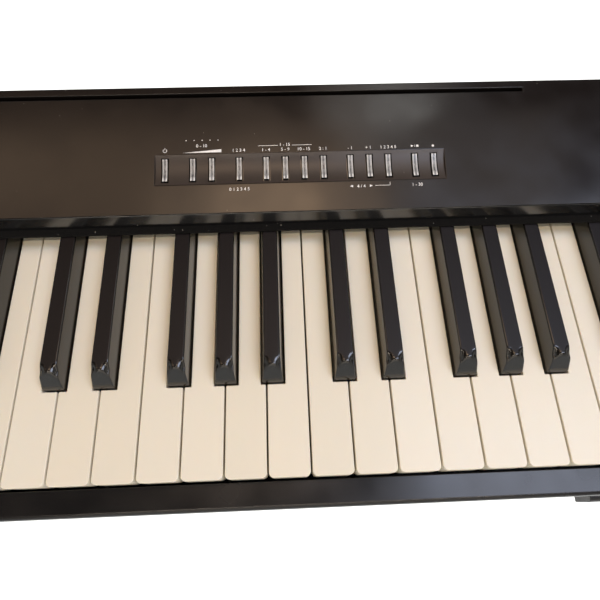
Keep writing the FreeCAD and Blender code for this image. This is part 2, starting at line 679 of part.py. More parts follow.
def jack(x, face, inward):
    """Phone jack: a barrel through the wall and a housing on the board."""
    reach = face + inward * CASE_WALL
    back = reach + inward * JACK_LENGTH
    barrel = rod_y(x, JACK_LEVEL, JACK_BARREL, min(face, back), max(face, back))
    y0 = reach + inward * JACK_CLEARANCE
    low = BOARD_LEVEL + BOARD_THICKNESS
    housing = box(x - 8, x + 8, min(y0, back + 2 * inward), max(y0, back + 2 * inward), low, JACK_LEVEL + 8)
    return barrel.fuse(housing)


def jacks():
    """Phones jacks at the front left, and the pedal, line and power jacks at the back."""
    pieces = []
    for x in PHONES_X:
        bore = rod_y(x, JACK_LEVEL, JACK_BORE, FRONT - 1, FRONT + JACK_LENGTH)
        pieces.append(jack(x, FRONT, 1).cut(bore))
    for name, x in REAR_JACK_X.items():
        body = jack(x, REAR, -1)
        if name == "power":
            ring = rod_y(x, JACK_LEVEL, POWER_BORE, REAR - POWER_DEPTH, REAR + 1)
            pin = rod_y(x, JACK_LEVEL, POWER_PIN, REAR - POWER_DEPTH, REAR - 1)
            pieces.append(body.cut(ring).fuse(pin))
        else:
            pieces.append(body.cut(rod_y(x, JACK_LEVEL, JACK_BORE, REAR - JACK_LENGTH, REAR + 1)))
    return pieces


def speaker(x):
    """Driver that faces down: flange and basket, cone inside, magnet on top."""
    y = KEY_FRONT + SPEAKER_RUN
    base = CASE_FLOOR + CASE_WALL
    r = SPEAKER_RADIUS
    profile = [
        (0, 14), (12, 11), (r - 8, 3), (r - 8, 0), (r, 0), (r, 3), (r - 5, 4),
        (MAGNET_RADIUS, 20), (MAGNET_RADIUS, 32), (0, 32),
    ]
    wire = Part.makePolygon([Vector(x + a, y, base + b) for a, b in profile + profile[:1]])
    return Part.Face(wire).revolve(Vector(x, y, base), Vector(0, 0, 1), 360)


# ---------------------------------------------------------------- stand
def stand_side(side):
    """Side board: a long foot, a column and an arm under the case."""
    foot = STAND_FOOT_DEPTH / 2
    arm = STAND_ARM_DEPTH / 2
    arm_low = STAND_HEIGHT - STAND_ARM_HEIGHT
    outline = [
        (-foot, GLIDE_HEIGHT), (foot, GLIDE_HEIGHT), (foot, STAND_FOOT_TOP), (COLUMN_BACK, STAND_FOOT_TOP),
        (COLUMN_BACK, arm_low), (arm, arm_low), (arm, STAND_HEIGHT), (-arm, STAND_HEIGHT), (-arm, arm_low),
        (COLUMN_FRONT, arm_low), (COLUMN_FRONT, STAND_FOOT_TOP), (-foot, STAND_FOOT_TOP),
    ]
    x0 = SIDE_INNER if side > 0 else -SIDE_INNER - BOARD
    board = prism(outline, x0, x0 + BOARD)

    def edges_at(places):
        return [
            e for e in board.Edges
            if e.BoundBox.YLength < 0.1 and e.BoundBox.ZLength < 0.1
            and any(abs(e.CenterOfMass.y - y) < 0.1 and abs(e.CenterOfMass.z - z) < 0.1 for y, z in places)
        ]

    front = [(COLUMN_FRONT, STAND_FOOT_TOP), (COLUMN_FRONT, arm_low)]
    board = board.makeFillet(STAND_ROUND, edges_at(front))
    back = [(COLUMN_BACK, STAND_FOOT_TOP), (COLUMN_BACK, arm_low)]
    board = board.makeFillet(STAND_BACK_ROUND, edges_at(back))
    tips = [(-foot, STAND_FOOT_TOP), (foot, STAND_FOOT_TOP), (-arm, arm_low), (arm, arm_low)]
    board = board.makeFillet(STAND_TIP_ROUND, edges_at(tips))
    cuts = [rod_x(y, z, BOLT_RADIUS + BOLT_CLEARANCE, x0 - 1, x0 + BOARD + 1) for y, z in panel_bolts()]
    outer = x0 + BOARD if side > 0 else x0
    for y, z in panel_bolts():
        cuts.append(rod_x(y, z, BOLT_HEAD + BOLT_CLEARANCE, outer - BOLT_SINK, outer + BOLT_SINK))
    for y in (-BRACKET_Y, BRACKET_Y):
        for z in bracket_screw_levels():
            start = x0 if side > 0 else x0 + BOARD - SCREW_LENGTH
            cuts.append(rod_x(y, z, SCREW_RADIUS + SCREW_CLEARANCE, start, start + SCREW_LENGTH))
    return board.cut(Part.Compound(cuts))


def panel_bolts():
    """Places (y, z) of the bolts that hold the back panel between the sides."""
    y = COLUMN_BACK - BACK_INSET - BACK_PANEL / 2
    span = BACK_PANEL_HIGH - BACK_PANEL_LOW
    return [(y, BACK_PANEL_LOW + span * share) for share in (0.12, 0.5, 0.88)]


def bracket_screw_levels():
    return [CASE_FLOOR - BRACKET_DROP * share for share in (0.45, 0.8)]


def stand_back_panel():
    """Board between the sides that stops the stand swaying."""
    back = COLUMN_BACK - BACK_INSET
    panel = box(-SIDE_INNER, SIDE_INNER, back - BACK_PANEL, back, BACK_PANEL_LOW, BACK_PANEL_HIGH)
    for y, z in panel_bolts():
        for start in (-SIDE_INNER, SIDE_INNER - BOLT_BITE):
            panel = panel.cut(rod_x(y, z, BOLT_RADIUS + BOLT_CLEARANCE, start, start + BOLT_BITE))
    return panel


def bracket(side, y):
    """Steel angle on a side board's inner face, with its upper leg under the case."""
    hole = SIDE_INNER - BOLT_X
    half = BRACKET_WIDTH / 2
    leg = box(0, hole + BRACKET_PAST_BOLT, y - half, y + half, CASE_FLOOR - BRACKET_SHEET, CASE_FLOOR)
    upright = box(0, BRACKET_SHEET, y - half, y + half, CASE_FLOOR - BRACKET_DROP, CASE_FLOOR)
    angle = leg.fuse(upright)
    angle = angle.cut(rod_z(hole, y, BOLT_RADIUS + BOLT_CLEARANCE, CASE_FLOOR - 9, CASE_FLOOR + 9))
    for z in bracket_screw_levels():
        angle = angle.cut(rod_x(y, z, SCREW_RADIUS + SCREW_CLEARANCE, -1, BRACKET_SHEET + 1))
    if side > 0:
        angle = angle.mirror(Vector(), Vector(1, 0, 0))
    angle.translate(Vector(side * SIDE_INNER, 0, 0))
    return angle.removeSplitter()


def fixings():
    """Brackets, bolts and screws of the stand and the case, each its own solid."""
    pieces = [bracket(side, y) for side in (-1, 1) for y in (-BRACKET_Y, BRACKET_Y)]
    under = CASE_FLOOR - BRACKET_SHEET
    for x, y in bolt_places():
        shank = rod_z(x, y, BOLT_RADIUS, under, CASE_FLOOR + BOSS_HEIGHT - 4)
        pieces.append(shank.fuse(rod_z(x, y, BOLT_HEAD, under - BOLT_SINK, under)))
    for side in (-1, 1):
        for y, z in panel_bolts():
            seat = side * (SIDE_INNER + BOARD - BOLT_SINK)
            tip = side * (SIDE_INNER - BOLT_BITE + 1)
            shank = rod_x(y, z, BOLT_RADIUS, min(seat, tip), max(seat, tip))
            head = rod_x(y, z, BOLT_HEAD, min(seat, seat + side * 3), max(seat, seat + side * 3))
            pieces.append(shank.fuse(head))
        for y in (-BRACKET_Y, BRACKET_Y):
            for z in bracket_screw_levels():
                face = side * (SIDE_INNER - BRACKET_SHEET)
                tip = side * (SIDE_INNER + SCREW_LENGTH - 1)
                shank = rod_x(y, z, SCREW_RADIUS, min(face, tip), max(face, tip))
                head = rod_x(y, z, SCREW_HEAD, min(face, face - side * 2), max(face, face - side * 2))
                pieces.append(shank.fuse(head))
    seat = CASE_FLOOR + SCREW_SINK
    for x, y in case_posts():
        shank = rod_z(x, y, SCREW_RADIUS, seat, KEY_TOP - CHASSIS_DROP + 1)
        pieces.append(shank.fuse(rod_z(x, y, SCREW_HEAD, seat - 2, seat)))
    return pieces


def rubber_feet():
    """Pads under the case and glides under the stand."""
    x = CASE_WIDTH / 2 - STAND_INSET - BOARD / 2
    pieces = []
    for sx in (-1, 1):
        for sy in (-1, 1):
            pieces.append(rod_z(sx * x, sy * FOOT_Y, CASE_FOOT_RADIUS, STAND_HEIGHT, CASE_FLOOR))
            pieces.append(rod_z(sx * x, sy * GLIDE_Y, GLIDE_RADIUS, 0, GLIDE_HEIGHT))
    return pieces


# ---------------------------------------------------------------- the whole
def key_nodes(keys):
    """Blocks of keys and hammers at both ends, and one octave of single keys between them."""
    nodes = {}
    live = range(LIVE_FIRST, LIVE_FIRST + LIVE_COUNT)
    blocks = {"bass": keys[:LIVE_FIRST], "treble": keys[LIVE_FIRST + LIVE_COUNT :]}
    for block, members in blocks.items():
        nodes[block + "_white_keys"] = [white_key(k) for k in members if not k["black"]]
        nodes[block + "_black_keys"] = [black_key(k) for k in members if k["black"]]
        nodes[block + "_hammers"] = [hammer(k) for k in members]
    for index in live:
        key = keys[index]
        name = f"{key['note']}_{key['octave']}"
        nodes["key_" + name] = [black_key(key) if key["black"] else white_key(key)]
        nodes["hammer_" + name] = [hammer(key)]
    return nodes


def all_nodes():
    keys = keyboard()
    nodes = {
        "bottom_case": [bottom_case()],
        "top_case": [top_case()],
        "left_end_block": [end_block(-1)],
        "right_end_block": [end_block(1)],
        "front_rail": [front_rail()],
        "fascia_strip": [fascia_strip()],
        "key_felts": key_felts(),
        "key_chassis": [key_chassis(keys)],
        "pivot_rods": pivot_rods(),
        "circuit_boards": sensor_board(keys) + button_board() + main_boards(),
        "jacks": jacks(),
        "speakers": [speaker(-SPEAKER_X), speaker(SPEAKER_X)],
        "rubber_feet": rubber_feet(),
        "stand_left_side": [stand_side(-1)],
        "stand_right_side": [stand_side(1)],
        "stand_back_panel": [stand_back_panel()],
        "fixings": fixings(),
    }
    for name, offset in BUTTON_X.items():
        nodes[name] = [button(STRIP_CENTRE + offset)]
    nodes.update(key_nodes(keys))
    return nodes


os.makedirs("parts", exist_ok=True)
for name, solids in all_nodes().items():
    shape = solids[0] if len(solids) == 1 else Part.Compound(solids)
    if not shape.isValid() or any(s.Volume <= 0 for s in solids):
        print("not valid:", name)
    shape.exportStep(f"parts/{name}.step")
    bounds = shape.BoundBox
    size = f"{bounds.XLength:.1f} x {bounds.YLength:.1f} x {bounds.ZLength:.1f}"
    print(f"{name}: {len(shape.Solids)} solids, {size}")
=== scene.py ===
# %% [markdown]
# # A digital piano on its stand
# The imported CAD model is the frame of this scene. Every piece below is either a CAD part with
# a better surface, or a mesh that takes the place of a CAD part and rides on the same body.
# All lengths are metres, and +X runs up the keyboard, +Y to the back, +Z up.

# %% Load the frame
import json
import math
import random

import bmesh
import bpy
from mathutils import Matrix, Vector


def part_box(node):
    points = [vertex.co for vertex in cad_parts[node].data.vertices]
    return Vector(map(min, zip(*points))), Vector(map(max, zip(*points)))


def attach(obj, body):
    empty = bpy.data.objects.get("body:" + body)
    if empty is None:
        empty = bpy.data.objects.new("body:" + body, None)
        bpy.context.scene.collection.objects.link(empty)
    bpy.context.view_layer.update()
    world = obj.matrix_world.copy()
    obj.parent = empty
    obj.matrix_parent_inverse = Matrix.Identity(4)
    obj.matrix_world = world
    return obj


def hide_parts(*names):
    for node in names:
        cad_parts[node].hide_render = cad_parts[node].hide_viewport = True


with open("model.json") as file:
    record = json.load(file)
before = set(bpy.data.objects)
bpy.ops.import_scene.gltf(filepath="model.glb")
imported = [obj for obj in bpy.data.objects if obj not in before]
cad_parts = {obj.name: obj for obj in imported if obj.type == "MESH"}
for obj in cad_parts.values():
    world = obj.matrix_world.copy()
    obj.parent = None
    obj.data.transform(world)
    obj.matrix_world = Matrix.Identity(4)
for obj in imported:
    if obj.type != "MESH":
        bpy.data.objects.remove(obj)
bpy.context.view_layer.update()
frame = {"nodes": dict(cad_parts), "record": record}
MM = 0.001
BODY_OF = {n: b for b, nodes in frame["record"]["behaviour"]["bodies"].items() for n in nodes}
SLOT_OF = {row["node"]: row["material_slot"] for row in frame["record"]["subparts"]}

# %% [markdown]
# ## Where things are
# Nothing is measured twice. The key level, the front edge of the keys and the plane of the
# control panel are read from the CAD parts, and only sizes that the CAD parts don't say are
# written here, such as the spacing of the keys.

# %% Key places and the panel's plane
KEY_PITCH = 23.5 * MM
KEY_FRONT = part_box("key_c_5")[0][1]
KEY_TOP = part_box("key_c_5")[1][2]
WHITE_COUNT = 52
KEYBED_HALF = WHITE_COUNT * KEY_PITCH / 2


def panel_line():
    """Front and rear points (y, z) of the control panel's face."""
    corners = [v.co for v in frame["nodes"]["top_case"].data.vertices]
    front_y = min(v.y for v in corners)
    front_z = max(v.z for v in corners if v.y < front_y + 0.01 * MM)
    rear = max(corners, key=lambda v: v.z)
    return (front_y, front_z), (rear.y, rear.z)


(FASCIA, PANEL_LOW), (PANEL_REAR, PANEL_HIGH) = panel_line()
PANEL_SLOPE = (PANEL_HIGH - PANEL_LOW) / (PANEL_REAR - FASCIA)
PANEL_UP = Vector((0, -PANEL_SLOPE, 1)).normalized()
STRIP_MIDDLE = 95 * MM
print(f"panel rises {math.degrees(math.atan(PANEL_SLOPE)):.1f} degrees")


def on_panel(x, run, lift=0.0):
    """Point on the panel: run behind its front edge, lift above its face."""
    return Vector((x, FASCIA + run, PANEL_LOW + PANEL_SLOPE * run)) + PANEL_UP * lift


# %% [markdown]
# ## Colours and one helper for shader nodes
# Colours are picked as sRGB hex values, the way paint and plastic samples are read off a
# screen, and turned to linear light once. Every shader below is built with the same helper,
# which adds one node, sets it and links it.

# %% Colour and node helpers
def linear(code, alpha=1.0):
    """sRGB hex such as "F1E9D8" as linear RGBA."""
    parts = [int(code[i:i + 2], 16) / 255 for i in (0, 2, 4)]
    light = [c / 12.92 if c <= 0.04045 else ((c + 0.055) / 1.055) ** 2.4 for c in parts]
    return (*light, alpha)


def add(tree, kind, settings=None, inputs=None):
    """Add a node. settings are its properties; inputs are values or sockets to link from."""
    item = tree.nodes.new(kind)
    for key, value in (settings or {}).items():
        setattr(item, key, value)
    for key, value in (inputs or {}).items():
        socket = item.inputs[key]
        if isinstance(value, bpy.types.NodeSocket):
            tree.links.new(value, socket)
        else:
            socket.default_value = value
    return item


def ramp(tree, factor, stops):
    """Colour ramp through (position, colour) stops."""
    item = add(tree, "ShaderNodeValToRGB", inputs={"Fac": factor})
    band = item.color_ramp
    while len(band.elements) < len(stops):
        band.elements.new(0.5)
    for element, (position, colour) in zip(band.elements, stops):
        element.position = position
        element.color = colour
    return item.outputs["Color"]


def new_material(name):
    """Empty node material with a Principled shader, and its object coordinates."""
    material = bpy.data.materials.new(name)
    material.use_nodes = True
    tree = material.node_tree
    shader = tree.nodes["Principled BSDF"]
    place = add(tree, "ShaderNodeTexCoord").outputs["Object"]
    return material, tree, shader, place


def grain(tree, place, size, stretch=(1, 1, 1), detail=3.0):
    """Noise whose bumps are about size metres across, drawn out along each axis by stretch."""
    scale = tuple(1 / (size * s) for s in stretch)
    mapped = add(tree, "ShaderNodeMapping", inputs={"Vector": place, "Scale": scale}).outputs["Vector"]
    noise = add(tree, "ShaderNodeTexNoise", inputs={"Vector": mapped, "Scale": 1.0, "Detail": detail})
    return noise.outputs["Fac"]


def bump(tree, shader, height, distance, strength=1.0, under=None):
    """Small relief of that depth in metres."""
    inputs = {"Height": height, "Distance": distance, "Strength": strength}
    if under is not None:
        inputs["Normal"] = under
    made = add(tree, "ShaderNodeBump", inputs=inputs)
    tree.links.new(made.outputs["Normal"], shader.inputs["Normal"])
    return made.outputs["Normal"]


def between(tree, factor, low, high):
    """A number that runs from low to high as factor runs over the middle of a noise."""
    item = add(tree, "ShaderNodeMapRange", inputs={"Value": factor, "From Min": 0.3, "From Max": 0.7})
    item.inputs["To Min"].default_value = low
    item.inputs["To Max"].default_value = high
    return item.outputs["Result"]


def specks(tree, place, spacing, radius):
    """1 inside sparse round specks, such as dust, and 0 elsewhere."""
    cells = add(tree, "ShaderNodeTexVoronoi", inputs={"Vector": place, "Scale": 1 / spacing})
    inside = add(tree, "ShaderNodeMath", {"operation": "LESS_THAN"}, {0: cells.outputs["Distance"]})
    inside.inputs[1].default_value = radius / spacing
    return inside.outputs[0]


def mixed(tree, factor, first, second):
    """Colour that goes from first to second with factor."""
    item = add(tree, "ShaderNodeMix", {"data_type": "RGBA"}, {"Factor": factor})
    for index, colour in ((6, first), (7, second)):
        if isinstance(colour, bpy.types.NodeSocket):
            tree.links.new(colour, item.inputs[index])
        else:
            item.inputs[index].default_value = colour
    return item.outputs[2]


# %% [markdown]
# ## Moulded black plastic
# The case is injection-moulded ABS. Its mould is spark-eroded, which leaves a fine pebble
# grain that turns gloss into satin. A real grain of a third of a millimetre is too fine to
# show, so it is drawn about twice as coarse. Hands leave slow changes in gloss, and a little
# dust settles on what faces up. The strip round the buttons is the same black plastic, given a
# lighter brown than the panel as painted reflection of the glow that its hollow mirrors.

# %% Spark-eroded ABS
def spark_eroded_abs(name, colour, dusty, roughness=0.42, pebble=0.7 * MM):
    material, tree, shader, place = new_material(name)
    pebbles = grain(tree, place, pebble)
    smudge = grain(tree, place, 38 * MM, detail=2.0)
    dust = specks(tree, place, 9 * MM, 0.17 * MM)
    tone = mixed(tree, smudge, linear(colour), linear(dusty))
    lit = mixed(tree, dust, tone, linear("9A958C"))
    tree.links.new(lit, shader.inputs["Base Color"])
    tree.links.new(between(tree, smudge, roughness - 0.05, roughness + 0.06), shader.inputs["Roughness"])
    shader.inputs["IOR"].default_value = 1.53
    bump(tree, shader, pebbles, 0.006 * MM, 0.4)
    return material


case_abs = spark_eroded_abs("abs_spark_eroded_black", "141211", "181615")
rail_abs = spark_eroded_abs("abs_satin_rail_black", "121213", "161617", 0.22, 0.5 * MM)
panel_abs = spark_eroded_abs("abs_satin_panel_black", "141110", "181413", 0.17, 0.5 * MM)
# The strip's brown is painted reflection: the panel's black plastic lightened to stand for the glow its
# hollow mirrors.
strip_abs_painted_glow = spark_eroded_abs("abs_satin_strip_painted_glow", "38302A", "3C342E", 0.36, 0.5 * MM)


# %% [markdown]
# ## Polished black plastic
# The strip behind the keys is the same plastic from a polished mould, so it mirrors the keys.
# Thin mouldings are never quite flat, and a clear lacquer lies on them. A slow wave in the
# normal, a little roughness and a coat make a bright but blurred mirror image.

# %% Polished ABS
def polished_abs(name, colour, roughness=0.13):
    material, tree, shader, place = new_material(name)
    wave = grain(tree, place, 16 * MM, (1, 1, 0.6), 1.0)
    dust = specks(tree, place, 7 * MM, 0.2 * MM)
    tree.links.new(mixed(tree, dust, linear(colour), linear("B5B2AA")), shader.inputs["Base Color"])
    haze = grain(tree, place, 9 * MM, detail=3.0)
    tree.links.new(between(tree, haze, roughness, roughness + 0.08), shader.inputs["Roughness"])
    shader.inputs["IOR"].default_value = 1.53
    shader.inputs["Coat Weight"].default_value = 1.0
    shader.inputs["Coat Roughness"].default_value = 0.16
    shader.inputs["Coat IOR"].default_value = 1.7
    bump(tree, shader, wave, 0.02 * MM, 0.15)
    return material


fascia_abs = polished_abs("abs_polished_lacquered_black", "080809")


# %% [markdown]
# ## Felt
# Pressed wool felt is a mat of crossing fibres. Two noises, each drawn out a different way,
# stand for them, and sheen gives the soft edge that fibres catch. Dust shows on it first.

# %% Pressed wool felt
def pressed_felt(name, colour, light):
    material, tree, shader, place = new_material(name)
    along = grain(tree, place, 0.5 * MM, (5, 1, 1))
    cross = grain(tree, place, 0.5 * MM, (1, 5, 1))
    mat = add(tree, "ShaderNodeMath", {"operation": "MAXIMUM"}, {0: along, 1: cross}).outputs[0]
    dust = specks(tree, place, 4.5 * MM, 0.22 * MM)
    tone = ramp(tree, mat, [(0.4, linear(colour)), (0.75, linear(light))])
    tree.links.new(mixed(tree, dust, tone, linear("A9A59B")), shader.inputs["Base Color"])
    shader.inputs["Roughness"].default_value = 0.95
    shader.inputs["Specular IOR Level"].default_value = 0.08
    shader.inputs["Sheen Weight"].default_value = 0.04
    bump(tree, shader, mat, 0.15 * MM)
    return material


black_felt = pressed_felt("felt_pressed_wool_black", "0A0A0A", "151412")


# %% [markdown]
# ## White key tops
# The tops are moulded in a warm white acrylic with fine grooves along the key, which feel
# like ivory and keep fingers from slipping. The grooves break a highlight into short bright
# streaks. A little light enters the plastic, so the edges glow warm. Each key is a shade of
# its own, and that shade is stored on the mesh as the attribute "shade".

# %% Grained acrylic
def grained_acrylic(name, colour, warm):
    material, tree, shader, place = new_material(name)
    shade = add(tree, "ShaderNodeAttribute", {"attribute_name": "shade"}).outputs["Fac"]
    cloud = grain(tree, place, 30 * MM, (1, 2, 1), 2.0)
    tone = mixed(tree, shade, linear(colour), linear(warm))
    soft = mixed(tree, between(tree, cloud, 0.0, 0.35), tone, linear("EAE0CB"))
    tree.links.new(soft, shader.inputs["Base Color"])
    streak = grain(tree, place, 0.55 * MM, (1, 5, 1), 4.0)
    tree.links.new(between(tree, streak, 0.34, 0.5), shader.inputs["Roughness"])
    shader.inputs["IOR"].default_value = 1.49
    shader.inputs["Subsurface Weight"].default_value = 0.15
    shader.inputs["Subsurface Radius"].default_value = (1.0, 0.7, 0.4)
    shader.inputs["Subsurface Scale"].default_value = 1.5 * MM
    bump(tree, shader, streak, 0.035 * MM, 0.8)
    return material


ivory_feel = grained_acrylic("acrylic_grained_ivory", "E5E0D0", "E0DAC8")


# %% [markdown]
# ## Black key tops
# The sharps are black ABS. Their top is textured along its length so that it feels like
# ebony and stays dark and dull, while the sides and the sloping front come straight from the
# polished mould and reflect the keys beside them. So a sharp has two finishes.

# %% Grained and polished ABS for the sharps
def ebony_feel_abs(name, colour, light, roughness, gloss, relief):
    material, tree, shader, place = new_material(name)
    streak = grain(tree, place, 0.45 * MM, (1, 7, 1), 3.0)
    tree.links.new(mixed(tree, streak, linear(colour), linear(light)), shader.inputs["Base Color"])
    tree.links.new(between(tree, streak, roughness, roughness + 0.08), shader.inputs["Roughness"])
    shader.inputs["IOR"].default_value = 1.53
    shader.inputs["Specular IOR Level"].default_value = gloss
    bump(tree, shader, streak, relief * MM, 0.7)
    return material


sharp_top = ebony_feel_abs("abs_grained_ebony", "0D0A0B", "151011", 0.42, 0.27, 0.02)
sharp_side = ebony_feel_abs("abs_polished_ebony", "0C0B0A", "11100E", 0.1, 0.8, 0.002)


# %% [markdown]
# ## Frosted light bars
# Each button is a bar of frosted polycarbonate that carries light from a lamp on the board
# below. Unlit, it is a pale grey, and light and shade are painted into that grey: painted
# highlights on its long edges and its front end, a darker middle, and painted shade at its
# outermost rim, which is black. The bar's own UV map says how far across and along it a point
# is. What shows of a button below the bar is black, as painted shade.

# %% Frosted polycarbonate
def frosted_polycarbonate(name):
    material, tree, shader, place = new_material(name)
    uv = add(tree, "ShaderNodeUVMap", {"uv_map": "bar"}).outputs["UV"]
    parts = add(tree, "ShaderNodeSeparateXYZ", inputs={"Vector": uv})
    # Painted light across the bar: painted highlights on both long edges, a darker middle, and black painted
    # shade at the outermost rim.
    across = ramp(tree, parts.outputs["X"], [
        (0.0, linear("0A0A0A")), (0.07, linear("F4F4F0")), (0.26, linear("C8C8C4")),
        (0.38, linear("606064")), (0.62, linear("6A6A6E")), (0.76, linear("D0D0CC")),
        (0.92, linear("F8F8F4")), (1.0, linear("0A0A0A")),
    ])
    # Painted light along the bar: a painted highlight at its front end and a fainter one at its back end.
    along = ramp(tree, parts.outputs["Y"], [
        (0.0, linear("FFFFFF")), (0.07, linear("FFFFFF")), (0.16, linear("8F8F8F")),
        (0.5, linear("B4B4B4")), (0.82, linear("9A9A9A")), (0.93, linear("E9E9E9")),
    ])
    tone = add(tree, "ShaderNodeMix", {"data_type": "RGBA", "blend_type": "MULTIPLY"}, {"Factor": 0.75})
    tree.links.new(across, tone.inputs[6])
    tree.links.new(along, tone.inputs[7])
    cloudy = grain(tree, place, 1.2 * MM, (1, 3, 1), 2.0)
    tree.links.new(mixed(tree, between(tree, cloudy, 0.0, 0.25), tone.outputs[2], linear("E6E6E2")),
                   shader.inputs["Base Color"])
    tree.links.new(between(tree, cloudy, 0.22, 0.34), shader.inputs["Roughness"])
    shader.inputs["IOR"].default_value = 1.58
    shader.inputs["Subsurface Weight"].default_value = 0.3
    shader.inputs["Subsurface Radius"].default_value = (1.0, 1.0, 1.0)
    shader.inputs["Subsurface Scale"].default_value = 1.0 * MM
    return material


painted_highlight_bar = frosted_polycarbonate("polycarbonate_frosted_painted_highlights")
# Black painted shade for what shows of a button in its slot: below the bar, its long sides and its front
# end.
painted_shade_skirt = polished_abs("polycarbonate_painted_shade_black", "060606", 0.3)


# %% [markdown]
# ## The stand's boards
# The stand is particle board wrapped in a printed foil with an embossed wood grain. The grain
# runs up the sides and along the back panel, so the material is made once for each way.

# %% Embossed foil on board
def embossed_foil(name, colour, light, stretch):
    material, tree, shader, place = new_material(name)
    lines = grain(tree, place, 1.6 * MM, stretch, 6.0)
    pores = grain(tree, place, 0.7 * MM, stretch, 2.0)
    tone = ramp(tree, lines, [(0.35, linear(colour)), (0.62, linear(light)), (0.8, linear(colour))])
    tree.links.new(tone, shader.inputs["Base Color"])
    tree.links.new(between(tree, pores, 0.38, 0.55), shader.inputs["Roughness"])
    shader.inputs["IOR"].default_value = 1.5
    bump(tree, shader, lines, 0.08 * MM, 0.7)
    return material


foil_upright = embossed_foil("foil_embossed_black_ash_upright", "191716", "24211F", (1, 1, 22))
foil_level = embossed_foil("foil_embossed_black_ash_level", "191716", "24211F", (22, 1, 1))


# %% [markdown]
# ## Metal, rubber and the parts inside
# Small parts get the finish that their process leaves. Zinc plating is a mottled grey, turned
# rod shows rings, moulded rubber is dull, and a circuit board is green lacquer over a woven
# glass sheet. One function makes each from a few numbers.

# %% Small-part finishes
def workshop_finish(name, colour, light, size, stretch=(1, 1, 1), metal=0.0, rough=(0.4, 0.6), depth=0.02):
    material, tree, shader, place = new_material(name)
    pattern = grain(tree, place, size * MM, stretch)
    tone = ramp(tree, pattern, [(0.35, linear(colour)), (0.68, linear(light))])
    tree.links.new(tone, shader.inputs["Base Color"])
    tree.links.new(between(tree, pattern, *rough), shader.inputs["Roughness"])
    shader.inputs["Metallic"].default_value = metal
    bump(tree, shader, pattern, depth * MM)
    return material


zinc_plated = workshop_finish("steel_zinc_plated", "8E9094", "B4B6BA", 1.5, metal=1.0, rough=(0.28, 0.42))
turned_rod = workshop_finish("steel_turned", "9C9EA1", "C4C5C8", 0.6, (1, 8, 8), 1.0, (0.2, 0.35))
moulded_rubber = workshop_finish(
    "rubber_moulded_black", "111111", "1C1C1B", 0.8, rough=(0.7, 0.9), depth=0.05)
natural_pom = workshop_finish("pom_natural_grey", "5B5C5E", "68696B", 2.5, rough=(0.35, 0.5))
green_board = workshop_finish("fr4_green_lacquer", "0E3B22", "165233", 0.8, rough=(0.25, 0.4))
painted_weight = workshop_finish("steel_painted_graphite", "26272A", "34353A", 1.0, rough=(0.45, 0.6))
paper_cone = workshop_finish("paper_pulp_cone", "161514", "24221F", 0.9, rough=(0.8, 0.95), depth=0.08)
jack_nylon = workshop_finish("nylon_black", "101011", "1A1A1B", 0.8, rough=(0.4, 0.55))

# %% [markdown]
# ## Print on the panel
# Legends are screen printed. The ink is an off-white enamel that lies a few hundredths of a
# millimetre proud, with tiny gaps where the screen's mesh was.

# %% Screen-printed enamel
def screen_print(name, colour):
    material, tree, shader, place = new_material(name)
    mesh_marks = grain(tree, place, 0.4 * MM)
    tone = ramp(tree, mesh_marks, [(0.25, linear("9E9C98")), (0.45, linear(colour))])
    tree.links.new(tone, shader.inputs["Base Color"])
    shader.inputs["Roughness"].default_value = 0.6
    return material


panel_ink = screen_print("enamel_screen_print_white", "F6F4F0")

# %% [markdown]
# ## Putting a finished skin on a CAD part
# A CAD part arrives with knife-sharp edges. Real mouldings have a small radius, which is what
# draws the thin bright line along every edge. A merged copy of the part gets a Bevel modifier
# of that radius and stands for the part.

# %% Rounded copies
def wear(piece, node):
    """The piece stands for a CAD node: it rides on the same body, and the node is hidden."""
    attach(piece, BODY_OF[node])
    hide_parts(node)


def merged_copy(node, name):
    """Copy of a CAD node with its loose triangles joined into whole faces."""
    mesh = frame["nodes"][node].data.copy()
    mesh.name = name
    work = bmesh.new()
    work.from_mesh(mesh)
    bmesh.ops.remove_doubles(work, verts=work.verts, dist=0.002 * MM)
    bmesh.ops.dissolve_limit(work, angle_limit=math.radians(0.6), verts=work.verts, edges=work.edges)
    work.to_mesh(mesh)
    work.free()
    piece = bpy.data.objects.new(name, mesh)
    bpy.context.scene.collection.objects.link(piece)
    return piece


def rounded(node, name, material, radius, segments=2, crease=32):
    """Merged copy with rounded edges that stands for the node. Edges over crease degrees
    stay crisp in the shading, so that a flat face mirrors like a flat face."""
    piece = merged_copy(node, name)
    piece.data.materials.clear()
    piece.data.materials.append(material)
    piece.data.shade_smooth()
    piece.data.set_sharp_from_angle(angle=math.radians(crease))
    edge = piece.modifiers.new("edge radius", "BEVEL")
    edge.width = radius
    edge.segments = segments
    edge.limit_method = "ANGLE"
    edge.angle_limit = math.radians(35)
    edge.use_clamp_overlap = False
    edge.harden_normals = True
    wear(piece, node)
    return piece


# %% [markdown]
# ## The case
# Nine mouldings and boards make the outside. Each takes the edge radius that its process
# gives: a third of a millimetre on plastic, a little more on foil-wrapped board.

# %% Case and stand
CASE_SKINS = [
    ("bottom_case", case_abs, 0.3 * MM), ("top_case", panel_abs, 0.45 * MM),
    ("front_rail", rail_abs, 0.4 * MM), ("fascia_strip", fascia_abs, 0.3 * MM),
    ("left_end_block", case_abs, 0.4 * MM), ("right_end_block", case_abs, 0.4 * MM),
    ("stand_left_side", foil_upright, 0.9 * MM), ("stand_right_side", foil_upright, 0.9 * MM),
    ("stand_back_panel", foil_level, 0.9 * MM),
]
for node, material, radius in CASE_SKINS:
    crease = 3 if node == "fascia_strip" else 9
    skin = rounded(node, node + "_skin", material, radius, crease=crease)
    if node == "top_case":
        panel_skin = skin

